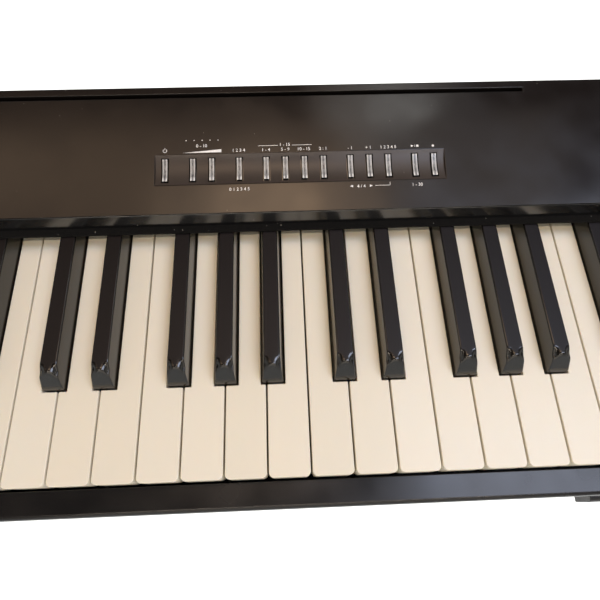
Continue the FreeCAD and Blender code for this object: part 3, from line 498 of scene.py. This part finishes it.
# %% Parts whose CAD shape is already right
PLAIN_PARTS = {
    "key_felts": black_felt, "key_chassis": natural_pom, "pivot_rods": turned_rod,
    "circuit_boards": green_board, "jacks": jack_nylon, "speakers": paper_cone,
    "rubber_feet": moulded_rubber, "fixings": zinc_plated,
}
for node in frame["nodes"]:
    if "hammer" in node:
        PLAIN_PARTS[node] = painted_weight
for node, material in PLAIN_PARTS.items():
    shown = frame["nodes"][node]
    shown.data.materials.clear()
    shown.data.materials.append(material)
print("plain parts:", len(PLAIN_PARTS))

# %% [markdown]
# ## White keys
# The key tops keep the CAD outline, with its notches for the black keys, and get a soft edge
# of about half a millimetre. Every separate key in a mesh gets its own random shade, so
# a row of them never looks printed.

# %% White keys
def shade_islands(mesh, rng):
    """Give each separate key in a mesh its own value of the attribute "shade"."""
    shade = mesh.attributes.new("shade", "FLOAT", "POINT")
    column = {}
    for vertex in mesh.vertices:
        index = math.floor((vertex.co.x + KEYBED_HALF) / KEY_PITCH)
        if index not in column:
            column[index] = rng.random()
        shade.data[vertex.index].value = column[index]


key_rng = random.Random(88)
white_nodes = [n for n in frame["nodes"] if SLOT_OF[n] == "white_key"]
for node in sorted(white_nodes):
    key = rounded(node, node + "_top", ivory_feel, 0.55 * MM, 3)
    shade_islands(key.data, key_rng)
print("white key meshes:", len(white_nodes))

# %% [markdown]
# ## Black keys
# A sharp is a bar whose sides lean in, with a soft edge along the top and a front that slopes
# back. The slope is flat. The top is crowned just where it meets the slope, so the slope's
# upper edge is an arch. Such a shape follows a rule, so it is lofted: one cross-section after
# another along the key, each from the same few sizes.

# %% Sizes of a sharp
SHARP_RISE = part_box("key_c_sharp_5")[1][2] - KEY_TOP
SHARP_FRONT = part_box("key_c_sharp_5")[0][1]
SHARP_BACK = KEY_FRONT + 156 * MM
SHARP_BASE, SHARP_TOP = 6.3 * MM, 4.6 * MM
SHARP_DEPTH = 15.9 * MM
SLOPE_RUN, SLOPE_BLEND = 7.6 * MM, 1.6 * MM
LIP, LIP_ROUND = 2.0 * MM, 1.2 * MM
EDGE, CROWN, CROWN_RUN = 0.9 * MM, 2.6 * MM, 3.2 * MM
ROUND_STEPS = 6
ACROSS = (0.88, 0.72, 0.54, 0.36, 0.18)


def ridge(run, across=1.0):
    """Height of the key's top at a run behind its front and a share of its half width. The
    front slope is flat; the top is crowned where it meets the slope, so that they meet in an arc."""
    slope = LIP + run * (SHARP_RISE - LIP) / SLOPE_RUN
    past = max(0.0, run - SLOPE_RUN) / CROWN_RUN
    top = SHARP_RISE - CROWN * abs(across) ** 2.4 * math.exp(-past ** 2)
    overlap = max(0.0, 1 - abs(slope - top) / SLOPE_BLEND)
    height = min(slope, top) - SLOPE_BLEND * overlap ** 2 / 4
    back = 1 - min(1.0, run / LIP_ROUND)
    return height - LIP_ROUND * (1 - math.sqrt(1 - back ** 2))


def half_width(height):
    lean = max(0.0, height) / SHARP_RISE
    return SHARP_BASE + (SHARP_TOP - SHARP_BASE) * lean


def sharp_section(run):
    """Outline (x, z) of the key at a run, from the lower left over the top to the lower right."""
    top = ridge(run)
    back = 1 - min(1.0, run / EDGE)
    pinch = EDGE * (1 - math.sqrt(1 - back ** 2))
    radius = min(EDGE, 0.6 * top)
    wall = half_width(top - radius) - pinch
    side = [(SHARP_BASE - pinch, -SHARP_DEPTH), (SHARP_BASE - pinch, 0.0), (wall, top - radius)]
    for step in range(1, ROUND_STEPS + 1):
        angle = step * math.pi / 2 / ROUND_STEPS
        side.append((wall - radius * (1 - math.cos(angle)), top - radius * (1 - math.sin(angle))))
    inner = wall - radius
    for share in ACROSS:
        side.append((inner * share, ridge(run, share)))
    return [(-x, z) for x, z in side] + [(0.0, ridge(run, 0.0))] + side[::-1]


def sharp_stations():
    """Runs of the cross-sections: close together over the lip and the slope."""
    lip = [i * 0.15 * MM for i in range(8)]
    slope = [LIP_ROUND + i * 0.5 * MM for i in range(1, 27)]
    length = SHARP_BACK - SHARP_FRONT
    back = [slope[-1] + (length - slope[-1]) * i / 5 for i in range(1, 6)]
    return lip + slope + back


def loft_sharp(work):
    rings = []
    for run in sharp_stations():
        rings.append([work.verts.new((x, SHARP_FRONT + run, KEY_TOP + z)) for x, z in sharp_section(run)])
    count = len(rings[0])
    for near, far in zip(rings, rings[1:]):
        for i in range(count):
            j = (i + 1) % count
            work.faces.new((near[i], near[j], far[j], far[i]))
    work.faces.new(rings[0])
    work.faces.new(rings[-1])


# %% [markdown]
# The hidden half of a sharp is a plain tail that reaches the pivot, and a plunger that
# presses the hammer. The tail is a block with softened edges, and the plunger's toe is round.

# %% Tail and plunger
TAIL_HALF, PLUNGER_HALF = 5 * MM, 3 * MM
TAIL_TOP, TAIL_FOOT = KEY_TOP - 4 * MM, KEY_TOP - 15.5 * MM
PLUNGER_PLACE = KEY_FRONT + 85 * MM
TOE_RADIUS, TOE_STEPS = 4.0 * MM, 10


def soft_block(work, low, high, radius=0.4 * MM):
    size = [high[i] - low[i] for i in range(3)]
    centre = [(high[i] + low[i]) / 2 for i in range(3)]
    matrix = Matrix.Translation(centre) @ Matrix.Diagonal((*size, 1))
    cube = bmesh.ops.create_cube(work, size=1.0, matrix=matrix)
    edges = list({e for v in cube["verts"] for e in v.link_edges})
    bmesh.ops.bevel(work, geom=edges, offset=radius, segments=2, affect="EDGES")


def new_piece(name, work, materials=()):
    """Object from a bmesh, its faces turned outwards."""
    bmesh.ops.recalc_face_normals(work, faces=work.faces)
    mesh = bpy.data.meshes.new(name)
    work.to_mesh(mesh)
    work.free()
    for material in materials:
        mesh.materials.append(material)
    piece = bpy.data.objects.new(name, mesh)
    bpy.context.scene.collection.objects.link(piece)
    return piece


def round_post(work, foot, top):
    """The plunger: a post along X whose toe is half round, to roll on the hammer's pad."""
    outline = [(PLUNGER_PLACE + TOE_RADIUS, top), (PLUNGER_PLACE - TOE_RADIUS, top)]
    for step in range(TOE_STEPS + 1):
        angle = math.pi * step / TOE_STEPS
        run = PLUNGER_PLACE - TOE_RADIUS * math.cos(angle)
        outline.append((run, foot + TOE_RADIUS * (1 - math.sin(angle))))
    ends = [[work.verts.new((x, y, z)) for y, z in outline] for x in (-PLUNGER_HALF, PLUNGER_HALF)]
    work.faces.new(ends[0])
    work.faces.new(ends[1][::-1])
    for i in range(len(outline)):
        j = (i + 1) % len(outline)
        work.faces.new((ends[0][i], ends[0][j], ends[1][j], ends[1][i]))


def one_sharp():
    """A whole sharp over x = 0."""
    work = bmesh.new()
    loft_sharp(work)
    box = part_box("key_c_sharp_5")
    soft_block(work, (-TAIL_HALF, SHARP_BACK - 1 * MM, TAIL_FOOT), (TAIL_HALF, box[1][1], TAIL_TOP))
    round_post(work, box[0][2], TAIL_FOOT)
    piece = new_piece("one_sharp", work)
    piece.data.shade_smooth()
    piece.data.set_sharp_from_angle(angle=math.radians(40))
    return piece


# %% [markdown]
# ## A row of sharps
# The same sharp stands at many places, so a small Geometry Nodes tree puts it on points: one
# point for each key. Realize Instances turns the copies into plain geometry, and Set Material
# gives the grained finish to whatever faces straight up.

# %% Geometry Nodes: a piece on points
def socket(tree, name, kind, default=None, way="INPUT"):
    made = tree.interface.new_socket(name, in_out=way, socket_type=kind)
    if default is not None:
        made.default_value = default
    return made.identifier


def sharps_tree():
    tree = bpy.data.node_groups.new("sharps_on_points", "GeometryNodeTree")
    socket(tree, "Points", "NodeSocketGeometry")
    names = {
        "piece": socket(tree, "Piece", "NodeSocketObject"),
        "side": socket(tree, "Side finish", "NodeSocketMaterial"),
        "top": socket(tree, "Top finish", "NodeSocketMaterial"),
        "level": socket(tree, "Level from", "NodeSocketFloat", 0.985),
    }
    socket(tree, "Geometry", "NodeSocketGeometry", way="OUTPUT")
    given = add(tree, "NodeGroupInput").outputs
    piece = add(tree, "GeometryNodeObjectInfo", inputs={"Object": given["Piece"]})
    placed = add(tree, "GeometryNodeInstanceOnPoints", inputs={
        "Points": given["Points"], "Instance": piece.outputs["Geometry"],
    })
    real = add(tree, "GeometryNodeRealizeInstances", inputs={"Geometry": placed.outputs[0]})
    sides = add(tree, "GeometryNodeSetMaterial", inputs={
        "Geometry": real.outputs[0], "Material": given["Side finish"],
    })
    normal = add(tree, "GeometryNodeInputNormal").outputs["Normal"]
    up = add(tree, "ShaderNodeSeparateXYZ", inputs={"Vector": normal}).outputs["Z"]
    level = add(tree, "FunctionNodeCompare", {"operation": "GREATER_THAN"}, {"A": up})
    tree.links.new(given["Level from"], level.inputs["B"])
    tops = add(tree, "GeometryNodeSetMaterial", inputs={
        "Geometry": sides.outputs[0], "Selection": level.outputs[0], "Material": given["Top finish"],
    })
    add(tree, "NodeGroupOutput", inputs={"Geometry": tops.outputs[0]})
    return tree, names


def grown(piece, tree, values):
    """Plain mesh from a piece and a Geometry Nodes tree whose inputs are set by identifier."""
    modifier = piece.modifiers.new("nodes", "NODES")
    modifier.node_group = tree
    for identifier, value in values.items():
        modifier[identifier] = value
    bpy.context.view_layer.update()
    seen = piece.evaluated_get(bpy.context.evaluated_depsgraph_get())
    mesh = bpy.data.meshes.new_from_object(seen)
    piece.modifiers.remove(modifier)
    piece.data = mesh
    return mesh


# %% All the sharps
def island_centres(node):
    """X of each separate key in a CAD node, from its plunger's lowest points."""
    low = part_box(node)[0][2]
    feet = sorted(v.co.x for v in frame["nodes"][node].data.vertices if v.co.z < low + 0.05 * MM)
    groups = [[feet[0]]]
    for x in feet[1:]:
        if x - groups[-1][-1] > 7 * MM:
            groups.append([])
        groups[-1].append(x)
    return [(group[0] + group[-1]) / 2 for group in groups]


def row_of_sharps(node, tree, values):
    work = bmesh.new()
    for x in island_centres(node):
        work.verts.new((x, 0, 0))
    piece = new_piece(node + "_top", work)
    mesh = grown(piece, tree, values)
    wear(piece, node)
    return len(mesh.polygons)


def all_sharps():
    pattern = one_sharp()
    tree, names = sharps_tree()
    values = {names["piece"]: pattern, names["side"]: sharp_side, names["top"]: sharp_top}
    nodes = sorted(n for n in frame["nodes"] if SLOT_OF[n] == "black_key")
    faces = sum(row_of_sharps(node, tree, values) for node in nodes)
    bpy.data.objects.remove(pattern)
    print("sharps:", len(nodes), "meshes,", faces, "faces")


all_sharps()

# %% [markdown]
# ## Buttons
# A button keeps its CAD shape with tiny edge radii. Its UV map runs across the bar and from
# its front end to its back end, for the frosted finish and its painted highlights. Its sides,
# its front end and what lies below the bar are black, as painted shade.

# %% Buttons
BAR_HALF, FLANGE_END, BAR_DEPTH = 1.55 * MM, 2.2 * MM, 2.4 * MM


def map_bar(piece, node):
    """UV map "bar": 0 to 1 across the button, 0 to 1 from its front to its back."""
    low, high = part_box(node)
    uv = piece.data.uv_layers.new(name="bar")
    middle = (low[0] + high[0]) / 2
    half = BAR_HALF
    for loop in piece.data.loops:
        point = piece.data.vertices[loop.vertex_index].co
        across = (point.x - middle + half) / (2 * half)
        along = (point.y - low[1] - FLANGE_END) / (high[1] - low[1] - 2 * FLANGE_END)
        uv.data[loop.index].uv = (min(1.0, max(0.0, across)), min(1.0, max(0.0, along)))


def skirt_faces(piece, node):
    """Black painted shade for the flange, the stem, the long sides and the front end of a button."""
    piece.data.materials.append(painted_shade_skirt)
    for face in piece.data.polygons:
        run = face.center.y - FASCIA
        depth = (on_panel(face.center.x, run) - face.center).dot(PANEL_UP)
        front_end = face.normal.y < -0.7 and depth > 0.0
        on_side = abs(face.normal.x) > 0.8
        if depth > BAR_DEPTH or front_end or on_side:
            face.material_index = 1


button_nodes = sorted(n for n in frame["nodes"] if n.startswith("button_"))
for node in button_nodes:
    bar = rounded(node, node + "_bar", painted_highlight_bar, 0.22 * MM, 2)
    map_bar(bar, node)
    skirt_faces(bar, node)
print("buttons:", len(button_nodes))

# %% [markdown]
# ## The hollow strip round the buttons
# The buttons sit in a long shallow hollow, an arc across its short side. The CAD surface is
# made of a few flat facets, which would show as bands in a reflection. A thin lining with
# many more facets lies on it and leaves the thirteen slots open.

# %% Strip lining
STRIP_WIDTH, STRIP_DEPTH = 178.5 * MM, 1.5 * MM
STRIP_FRONT, STRIP_BACK = 18 * MM, 37.3 * MM
SLOT_HALF, SLOT_FRONT, SLOT_BACK = 2.35 * MM, 19.7 * MM, 35.4 * MM
ARC_STEPS = 14


def press_facets(mesh, drop=0.9 * MM):
    """Lower the flat facets of the CAD hollow, so that the lining's true arc lies over them."""
    for vertex in mesh.vertices:
        run = vertex.co.y - FASCIA
        depth = (on_panel(vertex.co.x, run) - vertex.co).dot(PANEL_UP)
        across = abs(vertex.co.x - STRIP_MIDDLE) < STRIP_WIDTH / 2 + 0.1 * MM
        if across and STRIP_FRONT < run < STRIP_BACK and 0.05 * MM < depth < 2 * MM:
            vertex.co -= PANEL_UP * drop


def button_centres():
    return sorted((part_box(n)[0][0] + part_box(n)[1][0]) / 2 for n in button_nodes)


def hollow_depth(run):
    """Depth of the arc below the panel's face."""
    half = (STRIP_BACK - STRIP_FRONT) / 2
    radius = (half ** 2 + STRIP_DEPTH ** 2) / (2 * STRIP_DEPTH)
    off = run - (STRIP_FRONT + STRIP_BACK) / 2
    return math.sqrt(radius ** 2 - min(off ** 2, half ** 2)) - (radius - STRIP_DEPTH)


def lining_grid(work, lift):
    """Grid of points over the strip at a height above the arc."""
    xs = [STRIP_MIDDLE - STRIP_WIDTH / 2 + 0.05 * MM]
    for x in button_centres():
        xs += [x - SLOT_HALF, x + SLOT_HALF]
    xs.append(STRIP_MIDDLE + STRIP_WIDTH / 2 - 0.05 * MM)
    inner = [SLOT_FRONT + (SLOT_BACK - SLOT_FRONT) * i / ARC_STEPS for i in range(ARC_STEPS + 1)]
    runs = [STRIP_FRONT + 0.05 * MM, (STRIP_FRONT + SLOT_FRONT) / 2] + inner
    runs += [(SLOT_BACK + STRIP_BACK) / 2, STRIP_BACK - 0.05 * MM]
    rows = [[work.verts.new(on_panel(x, run, lift - hollow_depth(run))) for x in xs] for run in runs]
    return rows, len(inner)


def strip_lining():
    work = bmesh.new()
    rows, inner = lining_grid(work, 0.02 * MM)
    for r in range(len(rows) - 1):
        for c in range(len(rows[0]) - 1):
            slot_row = 2 <= r < 1 + inner
            if not (slot_row and c % 2 == 1):
                work.faces.new((rows[r][c], rows[r][c + 1], rows[r + 1][c + 1], rows[r + 1][c]))
    bmesh.ops.recalc_face_normals(work, faces=work.faces)
    if sum(f.normal.z for f in work.faces) < 0:
        bmesh.ops.reverse_faces(work, faces=work.faces)
    bmesh.ops.solidify(work, geom=work.faces[:], thickness=0.06 * MM)
    piece = new_piece("button_strip_lining", work, [strip_abs_painted_glow])
    piece.data.shade_smooth()
    piece.data.set_sharp_from_angle(angle=math.radians(40))
    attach(piece, "case")
    print("strip lining:", len(piece.data.polygons), "faces")


press_facets(panel_skin.data)
strip_lining()

# %% [markdown]
# ## Legends
# The legends are shapes cut from a sheet a few hundredths of a millimetre thick, laid on the
# sloping panel. Numerals come from the built-in font: a text object is turned into a mesh
# first, and then put in place. Words are left out, and plain numerals and signs stand where
# such an instrument has them.

# %% Ink shapes
INK = 0.04 * MM
UP_PANEL = Vector((0, 1, PANEL_SLOPE)).normalized()


def lay_on_panel(points, x, run):
    """Flat (u, v) points, in metres, moved onto the panel round (x, run)."""
    origin = on_panel(x, run, INK)
    return [origin + Vector((u, 0, 0)) + UP_PANEL * v for u, v in points]


def ink_face(work, points, x, run):
    """One printed area with a little thickness."""
    top = [work.verts.new(p) for p in lay_on_panel(points, x, run)]
    foot = [work.verts.new(v.co - PANEL_UP * 2 * INK) for v in top]
    work.faces.new(top)
    work.faces.new(foot[::-1])
    for i in range(len(top)):
        j = (i + 1) % len(top)
        work.faces.new((top[i], foot[i], foot[j], top[j]))


def bar(work, x, run, width, height):
    ink_face(work, [(-width / 2, -height / 2), (width / 2, -height / 2),
                    (width / 2, height / 2), (-width / 2, height / 2)], x, run)


def arc_band(work, x, run, radius, width, start, end, steps=16):
    """Part of a ring, from one angle to another, as one printed area."""
    angles = [math.radians(start + (end - start) * i / steps) for i in range(steps + 1)]
    outer = [((radius + width / 2) * math.sin(a), (radius + width / 2) * math.cos(a)) for a in angles]
    inner = [((radius - width / 2) * math.sin(a), (radius - width / 2) * math.cos(a)) for a in angles]
    ink_face(work, outer + inner[::-1], x, run)


def disc(work, x, run, radius, steps=16):
    angles = [2 * math.pi * i / steps for i in range(steps)]
    ink_face(work, [(radius * math.cos(a), radius * math.sin(a)) for a in angles], x, run)


def numerals(work, text, x, run, height):
    """Digits and signs from the built-in font, centred on the place."""
    curve = bpy.data.curves.new("numerals", "FONT")
    curve.body = text
    curve.size = height / 0.7
    curve.offset = 0.006 * curve.size
    curve.extrude = INK
    curve.align_x = "CENTER"
    curve.align_y = "CENTER"
    curve.resolution_u = 3
    holder = bpy.data.objects.new("numerals", curve)
    bpy.context.scene.collection.objects.link(holder)
    bpy.context.view_layer.update()
    raised = bpy.data.meshes.new_from_object(holder.evaluated_get(bpy.context.evaluated_depsgraph_get()))
    turn = Matrix.Rotation(math.atan(PANEL_SLOPE), 4, "X")
    raised.transform(Matrix.Translation(on_panel(x, run)) @ turn)
    work.from_mesh(raised)
    bpy.data.objects.remove(holder)
    bpy.data.curves.remove(curve)


# %% All the legends
LINE = 0.32 * MM
LEGENDS = [  # text, x mm, run mm
    ("0 - 10", 34.1, 42.7), ("1 2 3 4", 56.8, 39.3), ("1 - 15", 85.3, 42.4), ("1 - 4", 73.6, 39.3),
    ("5 - 9", 85.5, 39.3), ("10 - 15", 97.0, 39.3), ("2 : 1", 109.0, 39.3), ("- 1", 125.8, 39.3),
    ("+ 1", 137.2, 39.3), ("1 2 3 4 5", 149.6, 39.3), ("0 1 2 3 4 5", 57.0, 14.4),
    ("4 / 4", 131.4, 14.4), ("1 - 30", 165.9, 14.6),
]


def signs(work):
    """Power, volume wedge, lines, arrows, bracket, play, stop and record."""
    arc_band(work, 11.7 * MM, 40.1 * MM, 1.15 * MM, LINE, 48, 312)
    bar(work, 11.7 * MM, 41.1 * MM, LINE, 1.3 * MM)
    ink_face(work, [(-11.8 * MM, -0.95 * MM), (11.8 * MM, -0.95 * MM), (11.8 * MM, 1.05 * MM)],
             34.4 * MM, 39.3 * MM)
    for x in (74.95, 95.9):
        bar(work, x * MM, 42.0 * MM, 12.4 * MM, 0.26 * MM)
    for x, way in ((125.4, -1), (137.5, 1)):
        ink_face(work, [(-0.9 * way * MM, -0.8 * MM), (0.9 * way * MM, 0), (-0.9 * way * MM, 0.8 * MM)],
                 x * MM, 14.6 * MM)
    bar(work, 144.6 * MM, 14.7 * MM, 9.1 * MM, 0.26 * MM)
    bar(work, 149.1 * MM, 15.7 * MM, 0.26 * MM, 1.9 * MM)
    ink_face(work, [(-2.2 * MM, -0.8 * MM), (-0.6 * MM, 0), (-2.2 * MM, 0.8 * MM)], 166.1 * MM, 39.7 * MM)
    bar(work, 166.3 * MM, 39.7 * MM, 0.2 * MM, 1.7 * MM)
    bar(work, 167.9 * MM, 39.7 * MM, 1.4 * MM, 1.4 * MM)
    disc(work, 177.7 * MM, 39.6 * MM, 0.75 * MM)


def legends():
    work = bmesh.new()
    signs(work)
    for text, x, run in LEGENDS:
        numerals(work, text, x * MM, run * MM, 2.0 * MM)
    bmesh.ops.remove_doubles(work, verts=work.verts, dist=0.002 * MM)
    piece = new_piece("panel_legends", work, [panel_ink])
    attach(piece, "case")
    print("legends:", len(piece.data.polygons), "faces")


legends()

# %% [markdown]
# The level marks over the volume wedge are equal dots at an equal spacing: a Mesh Line with a
# disc on each of its points, made by Geometry Nodes and then laid on the panel.

# %% Level marks
def dots_tree():
    tree = bpy.data.node_groups.new("row_of_dots", "GeometryNodeTree")
    socket(tree, "Base", "NodeSocketGeometry")
    socket(tree, "Count", "NodeSocketInt", 5)
    socket(tree, "Spacing", "NodeSocketFloat", 4.9 * MM)
    socket(tree, "Radius", "NodeSocketFloat", 0.32 * MM)
    socket(tree, "Thickness", "NodeSocketFloat", 2 * INK)
    socket(tree, "Ink", "NodeSocketMaterial")
    socket(tree, "Geometry", "NodeSocketGeometry", way="OUTPUT")
    given = add(tree, "NodeGroupInput").outputs
    step = add(tree, "ShaderNodeCombineXYZ", inputs={"X": given["Spacing"]}).outputs[0]
    line = add(tree, "GeometryNodeMeshLine", {"mode": "OFFSET"}, {"Count": given["Count"], "Offset": step})
    dot = add(tree, "GeometryNodeMeshCylinder", inputs={
        "Vertices": 16, "Radius": given["Radius"], "Depth": given["Thickness"],
    })
    placed = add(tree, "GeometryNodeInstanceOnPoints", inputs={
        "Points": line.outputs[0], "Instance": dot.outputs["Mesh"],
    })
    real = add(tree, "GeometryNodeRealizeInstances", inputs={"Geometry": placed.outputs[0]})
    inked = add(tree, "GeometryNodeSetMaterial", inputs={
        "Geometry": real.outputs[0], "Material": given["Ink"],
    })
    add(tree, "NodeGroupOutput", inputs={"Geometry": inked.outputs[0]})
    return tree


def level_marks():
    tree = dots_tree()
    ink = next(i.identifier for i in tree.interface.items_tree if i.name == "Ink")
    piece = new_piece("volume_level_marks", bmesh.new())
    mesh = grown(piece, tree, {ink: panel_ink})
    turn = Matrix.Rotation(math.atan(PANEL_SLOPE), 4, "X")
    mesh.transform(Matrix.Translation(on_panel(24.6 * MM, 46.4 * MM)) @ turn)
    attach(piece, "case")
    print("level marks:", len(mesh.polygons), "faces")


level_marks()

# %% [markdown]
# ## Light and camera
# Black gloss shows whatever is overhead, so the lights are laid out as a ceiling. Most of the
# light comes from a pale dome round the horizon and a soft box in front, which the upward
# faces don't mirror. Above and behind are a broad dim warm panel, a small warm glow and a
# cool window, which draw the soft gradients on the panel and on the front rail.
#
# The lights and the floor are made twice in the same place. That is a fault of this scene and
# not a method to copy. One set with every lamp twice as bright was tried: the keys came out
# warmer and brighter, and shadows appeared on the floor. The brightness numbers below were set
# with both in place, so a single set needs new numbers.

# %% Studio
def area_light(name, place, size, radiance, colour, shape="RECTANGLE", aim=None):
    """Area light of a given brightness per area, facing down or at a point."""
    data = bpy.data.lights.new(name, "AREA")
    data.shape = shape
    data.size, data.size_y = size
    area = size[0] * size[1] * (1.0 if shape == "RECTANGLE" else math.pi / 4)
    data.energy = radiance * math.pi * area
    data.color = linear(colour)[:3]
    lamp = bpy.data.objects.new(name, data)
    lamp.location = place
    if aim:
        lamp.rotation_euler = (Vector(aim) - Vector(place)).to_track_quat("-Z", "Y").to_euler()
    bpy.context.scene.collection.objects.link(lamp)


def dome():
    """World that is pale round the horizon and dark overhead."""
    world = bpy.data.worlds.new("studio")
    world.use_nodes = True
    tree = world.node_tree
    way = add(tree, "ShaderNodeTexCoord").outputs["Generated"]
    up = add(tree, "ShaderNodeSeparateXYZ", inputs={"Vector": way}).outputs["Z"]
    colour = ramp(tree, up, [
        (0.0, linear("EDEDEA")), (0.35, linear("E4E0DA")), (0.66, linear("1E1C1C")), (1.0, linear("121111")),
    ])
    tree.links.new(colour, tree.nodes["Background"].inputs["Color"])
    tree.nodes["Background"].inputs["Strength"].default_value = 0.68
    bpy.context.scene.world = world


STRIP_AIM, KEYS_AIM = (0.1, 0, 0.7), (0.05, 0, 0.7)
SETS = 2


def studio():
    dome()
    area_light("warm_ceiling_left", (-1.4, 0.51, 2.9), (1.8, 0.6), 1.15, "FFD9B4")
    area_light("warm_ceiling", (0.0, 0.52, 2.9), (1.0, 0.6), 0.9, "FFDCBE")
    area_light("warm_ceiling_right", (1.0, 0.53, 2.9), (1.0, 0.6), 0.6, "FFF0E6")
    area_light("warm_glow_wide", (0.03, 0.36, 2.88), (1.2, 0.56), 1.3, "FFDAB4", "ELLIPSE")
    area_light("warm_glow", (0.03, 0.36, 2.86), (0.6, 0.36), 2.0, "FFD6AE", "ELLIPSE")
    area_light("grey_glow", (0.6, 0.9, 2.88), (0.6, 0.24), 2.9, "FFFDF8", "ELLIPSE")
    area_light("tube_lamp", (0.1, -0.9, 2.9), (2.2, 0.06), 24.0, "FFEBD6")
    area_light("cool_window", (1.35, -0.12, 2.9), (1.3, 0.8), 5.6, "DFE8FF")
    area_light("front_soft_box", (0.1, -1.8, 2.2), (2.4, 1.3), 0.95, "FFF3E2", aim=STRIP_AIM)
    area_light("left_lamp", (-1.5, -0.75, 2.3), (0.2, 0.2), 5.5, "FFEFDC", "DISK", aim=KEYS_AIM)
    area_light("right_lamp", (1.6, -0.75, 2.3), (0.2, 0.2), 5.5, "FFF2E2", "DISK", aim=KEYS_AIM)


def floor():
    work = bmesh.new()
    bmesh.ops.create_grid(work, x_segments=1, y_segments=1, size=6.0)
    material, tree, shader, place = new_material("paper_sweep_white")
    tone = mixed(tree, grain(tree, place, 0.8, detail=2.0), linear("F6F6F5"), linear("FBFBFA"))
    tree.links.new(tone, shader.inputs["Base Color"])
    shader.inputs["Roughness"].default_value = 0.9
    shader.inputs["Emission Color"].default_value = (1.0, 1.0, 1.0, 1.0)
    shader.inputs["Emission Strength"].default_value = 0.3
    piece = new_piece("studio_floor", work, [material])
    if piece.data.polygons[0].normal.z < 0:
        piece.data.flip_normals()


for copy in range(SETS):
    studio()
    floor()
bpy.context.scene.view_settings.view_transform = "Standard"

# %% [markdown]
# The camera looks down on the keys from just in front of them, turned a few degrees to the
# right and rolled slightly, with a wide lens.

# %% Camera
CAMERA_PLACE = (83.1 * MM, KEY_FRONT - 10.5 * MM, KEY_TOP + 274.4 * MM)
CAMERA_TURN, CAMERA_TILT, CAMERA_ROLL = -4.355, 22.252, 2.203


def camera():
    data = bpy.data.cameras.new("camera")
    data.sensor_width = 36.0
    data.lens = 29.1
    data.clip_start = 0.01
    eye = bpy.data.objects.new("camera", data)
    turn = Matrix.Rotation(math.radians(CAMERA_TURN), 4, "Z")
    tilt = Matrix.Rotation(math.radians(CAMERA_TILT), 4, "X")
    roll = Matrix.Rotation(math.radians(CAMERA_ROLL), 4, "Z")
    eye.matrix_world = Matrix.Translation(CAMERA_PLACE) @ turn @ tilt @ roll
    bpy.context.scene.collection.objects.link(eye)
    bpy.context.scene.camera = eye


camera()
